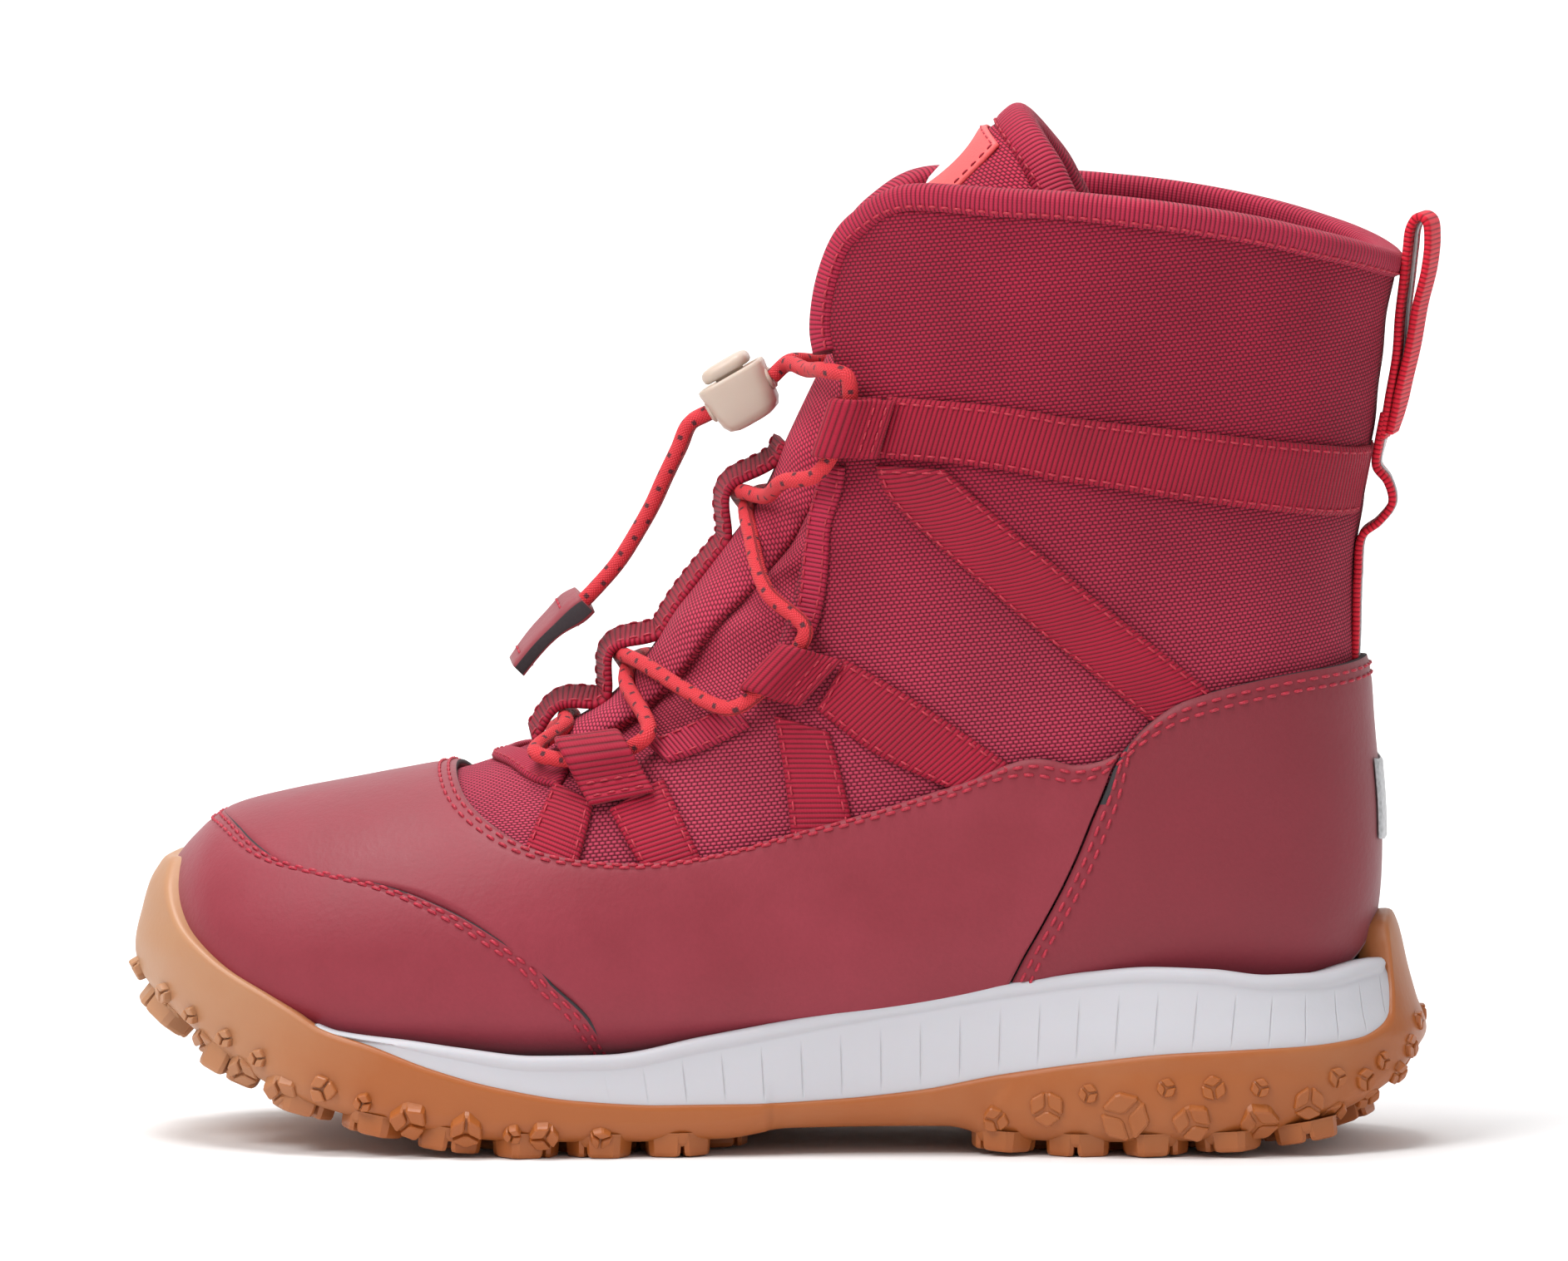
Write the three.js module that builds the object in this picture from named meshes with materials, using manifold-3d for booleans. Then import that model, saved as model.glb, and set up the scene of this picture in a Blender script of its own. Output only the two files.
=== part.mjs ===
// Child's winter boot, left foot. Millimetres, +Z up, toe toward -X, heel toward +X,
// lateral (outer) side toward -Y, medial (inner) side toward +Y.
import * as THREE from 'three';
import Module from 'manifold-3d';

const wasm = await Module();
wasm.setup();

// ---------------------------------------------------------------- driving dimensions
const GAP = 0.4;              // air left between two pieces that touch
const CANVAS = 1.0;           // thickness of the canvas
const STIFFENER = 0.7;        // toe puff and heel stiffener
const LINING = 1.0;
const UNDER_LEATHER = 0.6;    // from the canvas face to an overlay's inner face
const LEATHER = 1.2;          // synthetic nubuck overlays
const COUNTER = 1.6;          // the heel counter overlay laps higher than its neighbour
const WEBBING = 1.2;          // thickness of every webbing tape
const WEBBING_WIDTH = 10;
const CORD = 2.5;             // diameter of the elastic lace
const SHIFT = new THREE.Vector3(-0.9, -0.75, 0);   // brings the base's middle to the origin

const COLOUR = {
  canvas: 0x9c2040, leather: 0x8f3346, webbing: 0xb01e3e, cord: 0xe8415c, lock: 0xe6dccb,
  gum: 0xcc8a4a, midsole: 0xe6e6ea, red: 0xc31432, grey: 0x8d9299, lining: 0x4a2430,
  board: 0x6b5a48, tab: 0x8a2c40, steel: 0xb8bcc2,
};

// ---------------------------------------------------------------- small curve helpers
// Smooth curve through rows of numbers, one row per station, read at s in 0..1.
function spline(rows) {
  const last = rows.length - 1;
  return (s) => {
    const at = Math.min(Math.max(s, 0), 1) * last;
    const i = Math.min(Math.floor(at), last - 1);
    const f = at - i;
    const [a, b, c, d] = [i - 1, i, i + 1, i + 2].map((k) => rows[Math.min(Math.max(k, 0), last)]);
    return b.map((p, k) => {
      const m0 = (c[k] - a[k]) / 2;
      const m1 = (d[k] - p) / 2;
      const rise = c[k] - p;
      return p + f * (m0 + f * (3 * rise - 2 * m0 - m1 + f * (m0 + m1 - 2 * rise)));
    });
  };
}

// Straight-line table lookup: points [[x, y], ...] with rising x.
function lookup(points, x) {
  if (x <= points[0][0]) return points[0][1];
  for (let i = 1; i < points.length; i += 1) {
    const [x1, y1] = points[i];
    const [x0, y0] = points[i - 1];
    if (x <= x1) return y0 + ((y1 - y0) * (x - x0)) / (x1 - x0);
  }
  return points[points.length - 1][1];
}

// Points spaced evenly along a smooth curve through the given points.
function evenly(points, count) {
  const curve = new THREE.CatmullRomCurve3(points.map(([x, y, z = 0]) => new THREE.Vector3(x, y, z)),
    false, 'centripetal');
  return curve.getSpacedPoints(count).map((p) => [p.x, p.y, p.z]);
}

const mix = (a, b, f) => a + (b - a) * f;

// ---------------------------------------------------------------- the foot shape
// Each station is a slice: front point, back point (side view), half width, where along the
// slice it is widest, and how square the front and back halves are (1 is an ellipse).
const stations = spline([
  [-97.0, 34.5, -97.0, 31.5, 2.0, 0.5, 1.0, 1.0],
  [-96.4, 38.5, -96.2, 27.5, 8.0, 0.55, 1.0, 0.9],
  [-94.8, 42.2, -94.4, 25.0, 14.5, 0.58, 1.0, 0.8],
  [-91.8, 46.0, -91.2, 22.5, 21.0, 0.62, 0.95, 0.7],
  [-87.0, 50.0, -86.0, 19.5, 27.0, 0.66, 0.95, 0.62],
  [-78.0, 52.6, -77.0, 17.0, 31.5, 0.68, 0.92, 0.58],
  [-64.0, 55.4, -62.0, 15.2, 34.5, 0.68, 0.92, 0.56],
  [-50.0, 58.4, -45.0, 14.6, 35.4, 0.68, 0.95, 0.56],
  [-38.0, 63.0, -28.0, 14.6, 34.4, 0.68, 0.96, 0.56],
  [-27.5, 69.0, -8.0, 15.2, 32.6, 0.68, 0.94, 0.58],
  [-17.5, 77.0, 14.0, 17.0, 30.8, 0.68, 0.9, 0.62],
  [-11.0, 87.0, 38.0, 19.0, 29.8, 0.66, 0.86, 0.66],
  [-8.0, 96.5, 62.0, 21.0, 29.4, 0.62, 0.84, 0.72],
  [-6.5, 102.5, 80.0, 23.0, 29.2, 0.58, 0.83, 0.8],
  [-5.5, 106.5, 90.0, 28.0, 29.0, 0.55, 0.83, 0.86],
  [-5.0, 110.5, 92.8, 38.0, 28.8, 0.53, 0.83, 0.9],
  [-4.2, 115.0, 93.2, 52.0, 28.6, 0.52, 0.83, 0.92],
  [-3.5, 120.0, 91.8, 70.0, 28.6, 0.5, 0.83, 0.95],
  [-2.5, 128.0, 91.2, 90.0, 29.2, 0.5, 0.83, 0.95],
  [-0.5, 138.0, 93.8, 112.0, 30.4, 0.5, 0.83, 0.95],
  [2.5, 148.0, 96.4, 131.0, 31.4, 0.5, 0.83, 0.95],
  [5.0, 156.0, 98.4, 143.5, 32.0, 0.5, 0.83, 0.95],
]);

// The centre line bends toward the big toe (medial side) in front of the arch.
function bend(x) {
  const ahead = Math.max(0, -15 - x) / 88;
  return 4.5 * ahead * ahead;
}

// Point of the outer canvas face. v goes round the slice: 0 front, 0.5 lateral, 1 back,
// 1.5 medial; 2 is the front again.
function skinPoint(u, v) {
  const [fx, fz, bx, bz, width, widest, front, back] = stations(u);
  const angle = v * Math.PI;
  const c = Math.cos(angle);
  const s = Math.sin(angle);
  const power = c > 0 ? front : back;
  const along = c > 0 ? widest * (1 - c ** power) : widest + (1 - widest) * (-c) ** power;
  const x = mix(fx, bx, along);
  const y = -width * Math.sign(s) * Math.abs(s) ** power;
  return new THREE.Vector3(x, y + bend(x), mix(fz, bz, along));
}

// The same point moved out along the skin's normal.
function skin(u, v, out = 0) {
  const e = 0.004;
  const du = skinPoint(Math.min(u + e, 1), v).sub(skinPoint(Math.max(u - e, 0), v));
  const dv = skinPoint(u, v + e).sub(skinPoint(u, v - e));
  return skinPoint(u, v).addScaledVector(dv.cross(du).normalize(), out);
}

// The (u, v) of a lateral point given in the side view.
function locate(x, z) {
  const side = (u) => {
    const [fx, fz, bx, bz] = stations(u);
    return (x - fx) * (bz - fz) - (z - fz) * (bx - fx);
  };
  let low = 0;
  let high = 1;
  for (let i = 0; i < 40; i += 1) {
    const middle = (low + high) / 2;
    if (side(middle) < 0) low = middle;
    else high = middle;
  }
  const [fx, fz, bx, bz, , widest, front, back] = stations(low);
  const length = (bx - fx) ** 2 + (bz - fz) ** 2;
  const t = Math.min(Math.max(((x - fx) * (bx - fx) + (z - fz) * (bz - fz)) / length, 0), 1);
  const angle = t < widest
    ? Math.acos((1 - t / widest) ** (1 / front))
    : Math.PI - Math.acos(((t - widest) / (1 - widest)) ** (1 / back));
  return [low, angle / Math.PI];
}

// A lateral edge given by side-view points, as evenly spaced (u, v) points.
// The same edge on the medial side.
const medial = (uv) => uv.map(([u, v]) => [u, 2 - v]);

// ---------------------------------------------------------------- solids
function solid(points, triangles) {
  const geometry = new THREE.BufferGeometry();
  geometry.setAttribute('position', new THREE.Float32BufferAttribute(points.flat(), 3));
  geometry.setIndex(triangles.flat());
  geometry.computeVertexNormals();
  return geometry;
}

// Closed solid from rings of equal length: quads between rings, fans at both ends.
function rings(list) {
  const n = list[0].length;
  const points = list.flat().map((p) => (Array.isArray(p) ? p : p.toArray()));
  const triangles = [];
  for (let i = 0; i + 1 < list.length; i += 1) {
    for (let j = 0; j < n; j += 1) {
      const a = i * n + j;
      const b = i * n + ((j + 1) % n);
      triangles.push([a, b, b + n], [a, b + n, a + n]);
    }
  }
  const end = (list.length - 1) * n;
  for (let j = 1; j + 1 < n; j += 1) {
    triangles.push([0, j + 1, j], [end, end + j, end + j + 1]);
  }
  return outward(points, triangles);
}

// Turns the triangles round if the solid came out inside out.
function outward(points, triangles) {
  let volume = 0;
  for (const [a, b, c] of triangles) {
    const [p, q, r] = [points[a], points[b], points[c]];
    volume += p[0] * (q[1] * r[2] - q[2] * r[1]) + p[1] * (q[2] * r[0] - q[0] * r[2])
      + p[2] * (q[0] * r[1] - q[1] * r[0]);
  }
  return solid(points, volume > 0 ? triangles : triangles.map(([a, b, c]) => [a, c, b]));
}

// Closed shell of the grid at(a, b, side): side 0 is the inner face, 1 the outer face.
function shell(across, along, at) {
  const points = [];
  const index = (i, j, side) => (side * (across + 1) + i) * (along + 1) + j;
  for (const side of [0, 1]) {
    for (let i = 0; i <= across; i += 1) {
      for (let j = 0; j <= along; j += 1) points.push(at(i / across, j / along, side).toArray());
    }
  }
  const triangles = [];
  const quad = (a, b, c, d) => triangles.push([a, b, c], [a, c, d]);
  for (let i = 0; i < across; i += 1) {
    for (let j = 0; j < along; j += 1) {
      quad(index(i, j, 1), index(i + 1, j, 1), index(i + 1, j + 1, 1), index(i, j + 1, 1));
      quad(index(i, j, 0), index(i, j + 1, 0), index(i + 1, j + 1, 0), index(i + 1, j, 0));
    }
    quad(index(i, 0, 0), index(i + 1, 0, 0), index(i + 1, 0, 1), index(i, 0, 1));
    quad(index(i, along, 1), index(i + 1, along, 1), index(i + 1, along, 0), index(i, along, 0));
  }
  for (let j = 0; j < along; j += 1) {
    quad(index(0, j, 1), index(0, j + 1, 1), index(0, j + 1, 0), index(0, j, 0));
    quad(index(across, j, 0), index(across, j + 1, 0), index(across, j + 1, 1), index(across, j, 1));
  }
  return outward(points, triangles);
}

// A panel on the skin ruled between two (u, v) edges, from height low to height high.
function ruled(edgeA, edgeB, across, low, high) {
  const along = edgeA.length - 1;
  return shell(across, along, (a, b, side) => {
    const j = Math.round(b * along);
    const [u, v] = [0, 1].map((k) => mix(edgeA[j][k], edgeB[j][k], a));
    return skin(u, v, side ? high : low);
  });
}

// A panel on the skin between four (u, v) edges: front and back run up, bottom and top run back.
// The curve of the front and back edges dies away quickly into the panel.
function patch(front, back, bottom, top, low, high) {
  const rows = front.length - 1;
  const columns = bottom.length - 1;
  return shell(columns, rows, (a, b, side) => {
    const i = Math.round(a * columns);
    const j = Math.round(b * rows);
    const [u, v] = [0, 1].map((k) => mix(bottom[i][k], top[i][k], b)
      + (1 - a) ** 4 * (front[j][k] - mix(bottom[0][k], top[0][k], b))
      + a ** 4 * (back[j][k] - mix(bottom[columns][k], top[columns][k], b)));
    return skin(u, v, side ? high : low);
  });
}

// A flat tape swept along points, each {p: centre, w: direction of its width}.
function tape(stops, width, thick) {
  return rings(stops.map(({ p, w }, i) => {
    const before = stops[Math.max(i - 1, 0)].p;
    const after = stops[Math.min(i + 1, stops.length - 1)].p;
    const tangent = after.clone().sub(before).normalize();
    const side = w.clone().addScaledVector(tangent, -w.dot(tangent)).normalize();
    const up = tangent.cross(side);
    return [[-1, -1], [1, -1], [1, 1], [-1, 1]].map(([a, b]) => p.clone()
      .addScaledVector(side, (a * width) / 2).addScaledVector(up, (b * thick) / 2));
  }));
}

// A round cord along a curve.
function cordTube(points, diameter, steps, sides = 8) {
  const curve = new THREE.CatmullRomCurve3(points, false, 'centripetal');
  const round = new THREE.Shape().absarc(0, 0, diameter / 2, 0, 2 * Math.PI, false);
  return new THREE.ExtrudeGeometry(round, {
    steps, curveSegments: sides / 2, extrudePath: curve, bevelEnabled: false,
  });
}

// Indexed copy with shared corners, as manifold needs it.
function toManifold(geometry) {
  const position = geometry.getAttribute('position');
  const seen = new Map();
  const points = [];
  const remap = [];
  for (let i = 0; i < position.count; i += 1) {
    const p = [position.getX(i), position.getY(i), position.getZ(i)];
    const key = p.map((x) => Math.round(x * 1e4)).join();
    if (!seen.has(key)) {
      seen.set(key, points.length / 3);
      points.push(...p);
    }
    remap.push(seen.get(key));
  }
  const corners = geometry.index ? Array.from(geometry.index.array) : remap.map((_, i) => i);
  const triangles = [];
  for (let i = 0; i < corners.length; i += 3) {
    const t = corners.slice(i, i + 3).map((c) => remap[c]);
    if (new Set(t).size === 3) triangles.push(...t);
  }
  return new wasm.Manifold(new wasm.Mesh({
    numProp: 3, vertProperties: new Float32Array(points), triVerts: new Uint32Array(triangles),
  }));
}

function fromManifold(body) {
  const mesh = body.getMesh();
  const geometry = new THREE.BufferGeometry();
  geometry.setAttribute('position', new THREE.BufferAttribute(mesh.vertProperties, 3));
  geometry.setIndex(new THREE.BufferAttribute(mesh.triVerts, 1));
  geometry.computeVertexNormals();
  return geometry;
}

// The main body that a cut leaves, without slivers.
function biggest(body) {
  return body.decompose().sort((a, b) => b.volume() - a.volume())[0];
}

// Upright prism of n sides, flat faces up and down.
function prism(x, y, low, high, radius, n, turn = 0) {
  const corners = Array.from({ length: n }, (_, i) => turn + (2 * Math.PI * i) / n);
  const shape = new THREE.Shape(corners.map((angle) => new THREE.Vector2(
    x + radius * Math.cos(angle), y + radius * Math.sin(angle))));
  return new THREE.ExtrudeGeometry(shape, { depth: high - low, bevelEnabled: false }).translate(0, 0, low);
}

// ---------------------------------------------------------------- the sole
// Half width of the sole along its length, and the heights of its layers in the side view.
const SOLE_HALF = [[-102.6, 4], [-101.6, 10], [-99, 17.5], [-95, 24], [-89, 29.5], [-80, 34], [-74, 36],
  [-68, 37.4], [-62, 38.4], [-52, 39.4], [-36, 39], [-18, 36], [0, 32.6], [16, 30.4], [32, 29.8],
  [48, 30.6], [64, 31.2], [76, 30.4], [85, 27.6], [92, 23], [94.7, 20.4],
  [96.4, 18.2], [97.4, 16.9], [100, 12.5], [101.8, 7], [102.5, 3]];
const PLATE_BOTTOM = [[-103, 27], [-100, 23], [-96, 19], [-89, 14.5], [-80, 10.5], [-70, 7.5], [-58, 5.5],
  [-45, 4.6], [-20, 4.4], [20, 4.5], [50, 4.2], [70, 4.6], [84, 6], [93, 8.5], [99, 12], [103, 16]];
const TREAD = [[-103, 25], [-97.5, 19.5], [-88.8, 13], [-82, 9.2], [-71, 5], [-59.8, 2.4], [-48, 0.8],
  [-37, 0], [-18, 0], [-3, 0.6], [35, 0.8], [44, 0], [55, 0], [69, 0.8], [81, 2.1], [91.8, 5], [99.7, 10.5],
  [103, 15]];
const GUM_TOP = [[-103, 40], [-101.6, 45.2], [-99.8, 42.4], [-98.4, 39.6], [-96.7, 37.4], [-94, 34.6],
  [-91.2, 32.4], [-85.7, 28.6], [-80, 25.6], [-75, 22.9], [-70, 20], [-68, 18.8], [-62.2, 17.6],
  [-53, 14.3], [-42.4, 11.4], [-29.2, 9.2], [-16, 8.4], [-3, 8.4], [10.3, 9], [23.5, 10.4], [36.7, 13],
  [50, 15],
  [63, 16.5], [76, 17.2], [89.4, 18], [94.7, 19.8],
  [96.4, 23.5], [97.4, 35.5], [103, 36.4]];
const MIDSOLE_TOP = [[-70, 20], [-55.7, 18.4], [-47.8, 17.4], [-36, 16.2], [-24.7, 16.3], [-9.6, 19],
  [10.2, 22.7], [23.4, 24.9], [37.2, 27.3], [49.7, 29.1], [60.3, 30], [69.5, 29.7], [80, 28.6], [88, 28.6],
  [98, 30]];
// How far the gum wall leans in at each height, at the toe and at the heel.
const TOE_LEAN = [[8, 7], [14, 5], [20, 2.4], [26, 0.3], [30, 0], [36, 1.4], [42, 3.6], [46, 4.6]];
const HEEL_LEAN = [[3, 4.5], [8, 1.6], [13, 0.2], [18, 0], [23, 1.6], [28, 3], [34, 4.4], [37, 5.6]];

const leanAt = (x, z) => (x < 0 ? lookup(TOE_LEAN, z) * Math.min(1, Math.max(0, (-60 - x) / 30))
  : lookup(HEEL_LEAN, z) * Math.min(1, Math.max(0.25, (x - 60) / 30)));

// A slab of the sole outline between two heights, its side leaning by lean(x, z) plus inset.
function slab(from, to, low, high, inset, rows, lean) {
  const xs = SOLE_HALF.map(([x]) => x).filter((x) => x >= from && x <= to);
  const column = (x, side, z) => {
    const half = lookup(SOLE_HALF, x);
    const tip = x < 0 ? -62 : 64;
    const past = Math.abs(x) > Math.abs(tip) ? (x - tip) / 40 : 0;
    const lean1 = inset + lean(x, z);
    const y = side * Math.max(half - lean1 * (1 - 0.5 * Math.abs(past)), 1.2);
    const px = x - past * lean1;
    return [px, y + bend(px), z];
  };
  // Each ring runs under the sole from lateral to medial and back over the top.
  const ring = (x) => {
    const heights = Array.from({ length: rows + 1 }, (_, k) => mix(low(x), high(x), k / rows));
    const up = heights.map((z) => column(x, 1, z));
    const down = [...heights].reverse().map((z) => column(x, -1, z));
    return [...up, ...down];
  };
  return rings(xs.map(ring));
}

const zGum = (x) => lookup(GUM_TOP, x);
const zMidsole = (x) => lookup(MIDSOLE_TOP, x);
const zPlate = (x) => lookup(PLATE_BOTTOM, x);
const zTread = (x) => lookup(TREAD, x);

// What the upper and its overlays fill, grown by a gap: the sole is hollowed by it.
function footRoom(toeOut, heelOut, fromU, toU) {
  const across = 34;
  const around = 28;
  const list = [];
  for (let i = 0; i <= across; i += 1) {
    const u = mix(fromU, toU, i / across);
    const out = mix(toeOut, heelOut, Math.min(Math.max((u - 0.35) / 0.15, 0), 1));
    list.push(Array.from({ length: around }, (_, j) => skin(u, (2 * j) / around, out)));
  }
  return toManifold(rings(list));
}

// Tread lugs: three-lobed blocks, here as six-sided prisms, in rows along the outline.
function lugs() {
  const list = [];
  const rows = [[5.2, 4.9, 14.2], [17.5, 4.6, 13.4], [29.5, 4.6, 13.4]];
  rows.forEach(([inset, radius, pitch], row) => {
    for (const [from, to] of [[-82, -6], [38, 90]]) {
      for (let x = from + (row % 2) * (pitch / 2); x <= to; x += pitch) {
        const half = lookup(SOLE_HALF, x) - inset;
        if (half < 4) continue;
        const low = Math.max(zTread(x - 3), zTread(x + 3), zTread(x));
        for (const side of [-1, 1]) list.push([x, side * half + bend(x), low, radius]);
      }
    }
  });
  return list.filter(([x, y, , r], i) => list.every(([a, b, , q], k) => k >= i
    || Math.hypot(x - a, y - b) > 0.93 * (r + q)));
}

function outsole() {
  const base = slab(-103, 103, (x) => zPlate(x), zGum, 0, 5, leanAt);
  let body = toManifold(base);
  for (const [x, y, low, radius] of lugs()) {
    body = body.add(toManifold(prism(x, y, low, zPlate(x) + 2.2, radius, 6, Math.PI / 6)));
  }
  return body;
}

// Stands the sole's layers on each other and hollows them for the upper.
const room = footRoom(UNDER_LEATHER + LEATHER + GAP, UNDER_LEATHER + COUNTER + GAP + 0.3, 0, 0.9);

function midsole() {
  const body = toManifold(slab(-68, 96.4, (x) => zGum(x) + 0.3, zMidsole, 0.9, 3, leanAt));
  return fromManifold(biggest(body.subtract(room)));
}

// Where the gum wall's back face stands at a height.
const heelBackX = (z) => 102.5 - lookup(HEEL_LEAN, z) * 0.96;

// ---------------------------------------------------------------- edges of the upper's panels
// Side-view points of the lateral face; the medial face mirrors them.
const CAP_SEAM = [[-83.5, 48.2], [-79, 45.6], [-74.7, 44.2], [-68.1, 42.7], [-61.5, 41.2], [-56.6, 39.5],
  [-49, 36.2], [-42.9, 32.6], [-36.5, 27.4], [-31.5, 22.8], [-27.5, 18.5]];
const VAMP_TOP = [[54.6, 63.6], [42.9, 62.8], [37, 61.6], [29.7, 58.6], [13.1, 53.3], [3.1, 50.5],
  [-4, 48.3], [-11.5, 46.6], [-19.1, 45.8], [-24.5, 45.8], [-31.1, 46.3], [-37.6, 47.8], [-43.6, 50.8],
  [-47.4, 53.6], [-49.4, 56]];
const COUNTER_TOP = [[56.4, 64.4], [59.2, 67.9], [63.2, 70.9], [68, 72.7], [75.9, 74.6], [85, 76]];
const COLLAR_FRONT = [[8.2, 126], [7.6, 130], [8.6, 137.3], [10.9, 143.3], [14.9, 147.4]];
const COLLAR_TOP = [[20.5, 150.4], [37, 150], [52.8, 149], [63.9, 147.7], [76, 145.6], [88, 142.6]];
const THROAT = [[-29.4, 58.4], [-24, 60.4], [-17, 63.8], [-9, 67.8], [-3.2, 72.5], [0.6, 79.5],
  [3, 87], [5.6, 97.5], [8.2, 108], [10.8, 120]];

const uOfFront = (x) => {
  let low = 0;
  let high = 1;
  for (let i = 0; i < 40; i += 1) {
    const middle = (low + high) / 2;
    if (stations(middle)[0] < x) low = middle;
    else high = middle;
  }
  return low;
};
const uOfBack = (z) => {
  let low = 0.55;
  let high = 1;
  for (let i = 0; i < 40; i += 1) {
    const middle = (low + high) / 2;
    if (stations(middle)[3] < z) low = middle;
    else high = middle;
  }
  return low;
};

const place = (points) => points.map(([x, z]) => locate(x, z));
const spread = (uv, count) => evenly(uv, count).map(([u, v]) => [u, v]);
// Over the top from the medial side (negative v) to the lateral side through the front line.
const overTop = (uv, u0, count) => spread(
  [...uv.map(([u, v]) => [u, -v]).reverse(), [u0, 0], ...uv], count);
// Round the heel from the lateral side through the back line to the medial side.
const roundHeel = (uv, u1, count) => spread([...uv, [u1, 1], ...medial(uv).reverse()], count);
const sideOf = (uv, side) => (side < 0 ? uv : medial(uv));

// The upright seam where the vamp overlay meets the heel counter overlay, low end first.
const FLANK = [[33.5, 21.8], [37.3, 27.2], [41.2, 33.8], [45, 40.3], [48.3, 46.9], [51, 53.5], [53.6, 60],
  [55.5, 64]];
const flank = (side, shift, count) => sideOf(
  spread(place(FLANK.map(([x, z]) => [x + shift, z])), count), side);

function toeCap() {
  const seam = overTop(place(CAP_SEAM), uOfFront(-87.2), 24);
  const tip = seam.map(([, v]) => [0.004, v]);
  return ruled(tip, seam, 6, UNDER_LEATHER, UNDER_LEATHER + LEATHER);
}

function vampOverlay() {
  const under = [[20, 19.4], [0, 17.8], [-20, 17.2]];
  const seam = CAP_SEAM.slice().reverse().map(([x, z]) => [x + 0.8, z + 0.5]);
  const lateral = flank(-1, -GAP / 2, 5);
  const medialEnd = lateral.map(([u, v]) => [u, -v]);
  const front = overTop([lateral[0], ...place([...under, ...seam])].reverse(), uOfFront(-86.2), 44);
  const top = overTop([lateral[5], ...place(VAMP_TOP.slice(1))].reverse(), uOfFront(-50.8), 44);
  return patch(medialEnd, lateral, front, top, UNDER_LEATHER, UNDER_LEATHER + LEATHER);
}

function counterOverlay() {
  const under = place([[50, 23.2], [65, 24.6], [78, 27], [86, 31.5]]);
  const lateral = flank(-1, GAP / 2, 5);
  const bottom = roundHeel([lateral[0], ...under], uOfBack(36), 24);
  const top = roundHeel([lateral[5], ...place(COUNTER_TOP.slice(1))], uOfBack(77), 24);
  return patch(lateral, medial(lateral), bottom, top, UNDER_LEATHER, UNDER_LEATHER + COUNTER);
}

function vampCanvas() {
  const front = overTop(place([[-36, 43], [-48, 46], [-56, 50]].reverse()), uOfFront(-60), 20);
  const throat = overTop(place([[-31.6, 58.3], [-35, 59.4], [-39.5, 60.2]].reverse()), uOfFront(-43.8), 20);
  return ruled(front, throat, 3, -CANVAS, 0);
}

// Ribbed tape sewn round the front of the throat, over the vamp canvas.
function throatTrim() {
  const outside = overTop(place([[-41.5, 59.8], [-38.6, 58.6], [-36.8, 58.2]]), uOfFront(-45.5), 16);
  const inside = overTop(place([[-38.8, 61.6], [-36.8, 61], [-35.4, 60.6]]), uOfFront(-42), 16);
  return ruled(outside, inside, 2, GAP, GAP + 1);
}

function quarter(side) {
  const inFromBinding = COLLAR_FRONT.map(([x, z]) => [x + 3, z - 0.6]);
  const front = spread(place([[-33.2, 43], ...THROAT, ...inFromBinding.slice(0, -1)]), 14);
  const top = spread([...place([[13.2, 142.2], [17.2, 145.9],
    ...COLLAR_TOP.map(([x, z]) => [x + 0.4, z - 2.5])]), [uOfBack(136.6), 0.994]], 15);
  const bottom = spread([...place([[-33.2, 43], [-20, 40], [-5, 42], [15, 47], [35, 55], [52, 58], [70, 65]]),
    [uOfBack(67), 0.994]], 15);
  const back = spread([[uOfBack(67), 0.994], [uOfBack(136.6), 0.994]], 14);
  front[front.length - 1] = top[0];
  return patch(...[front, back, bottom, top].map((uv) => sideOf(uv, side)), -CANVAS, 0);
}

const throatUV = place([[-39, 59.6], ...THROAT.map(([x, z]) => [x + 6, z - 2]),
  ...COLLAR_FRONT.slice(0, 3).map(([x, z]) => [x + 5, z]), [19, 144]]);
const collarUV = [...place([[19, 144], ...COLLAR_TOP.slice(1).map(([x, z]) => [x, z - 3])]),
  [uOfBack(136), 1]];

// The half of the throat opening at slice u, as v.
const throatV = (u) => Math.max(0.008, lookup([[uOfFront(-43.8), 0.008], ...throatUV], u));
const collarU = (v) => lookup(collarUV.map(([u, w]) => [w, u]), v <= 1 ? v : 2 - v);

function lining() {
  return shell(22, 20, (a, b, side) => {
    const rough = b * 0.93;
    const v0 = throatV(rough);
    const v = mix(v0, 2 - v0, a);
    const u = 0.01 + b * (collarU(v) - 0.01);
    const w0 = throatV(u);
    return skin(u, mix(w0, 2 - w0, a), side ? -CANVAS - 1.7 : -CANVAS - 1.7 - LINING);
  });
}

// A layer inside the upper between slices and round angles.
const layer = (u0, u1, v0, v1, low, high, along, across) => shell(across, along, (a, b, side) => skin(
  mix(u0, u1, b), mix(v0, v1, a), side ? high : low));

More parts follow.
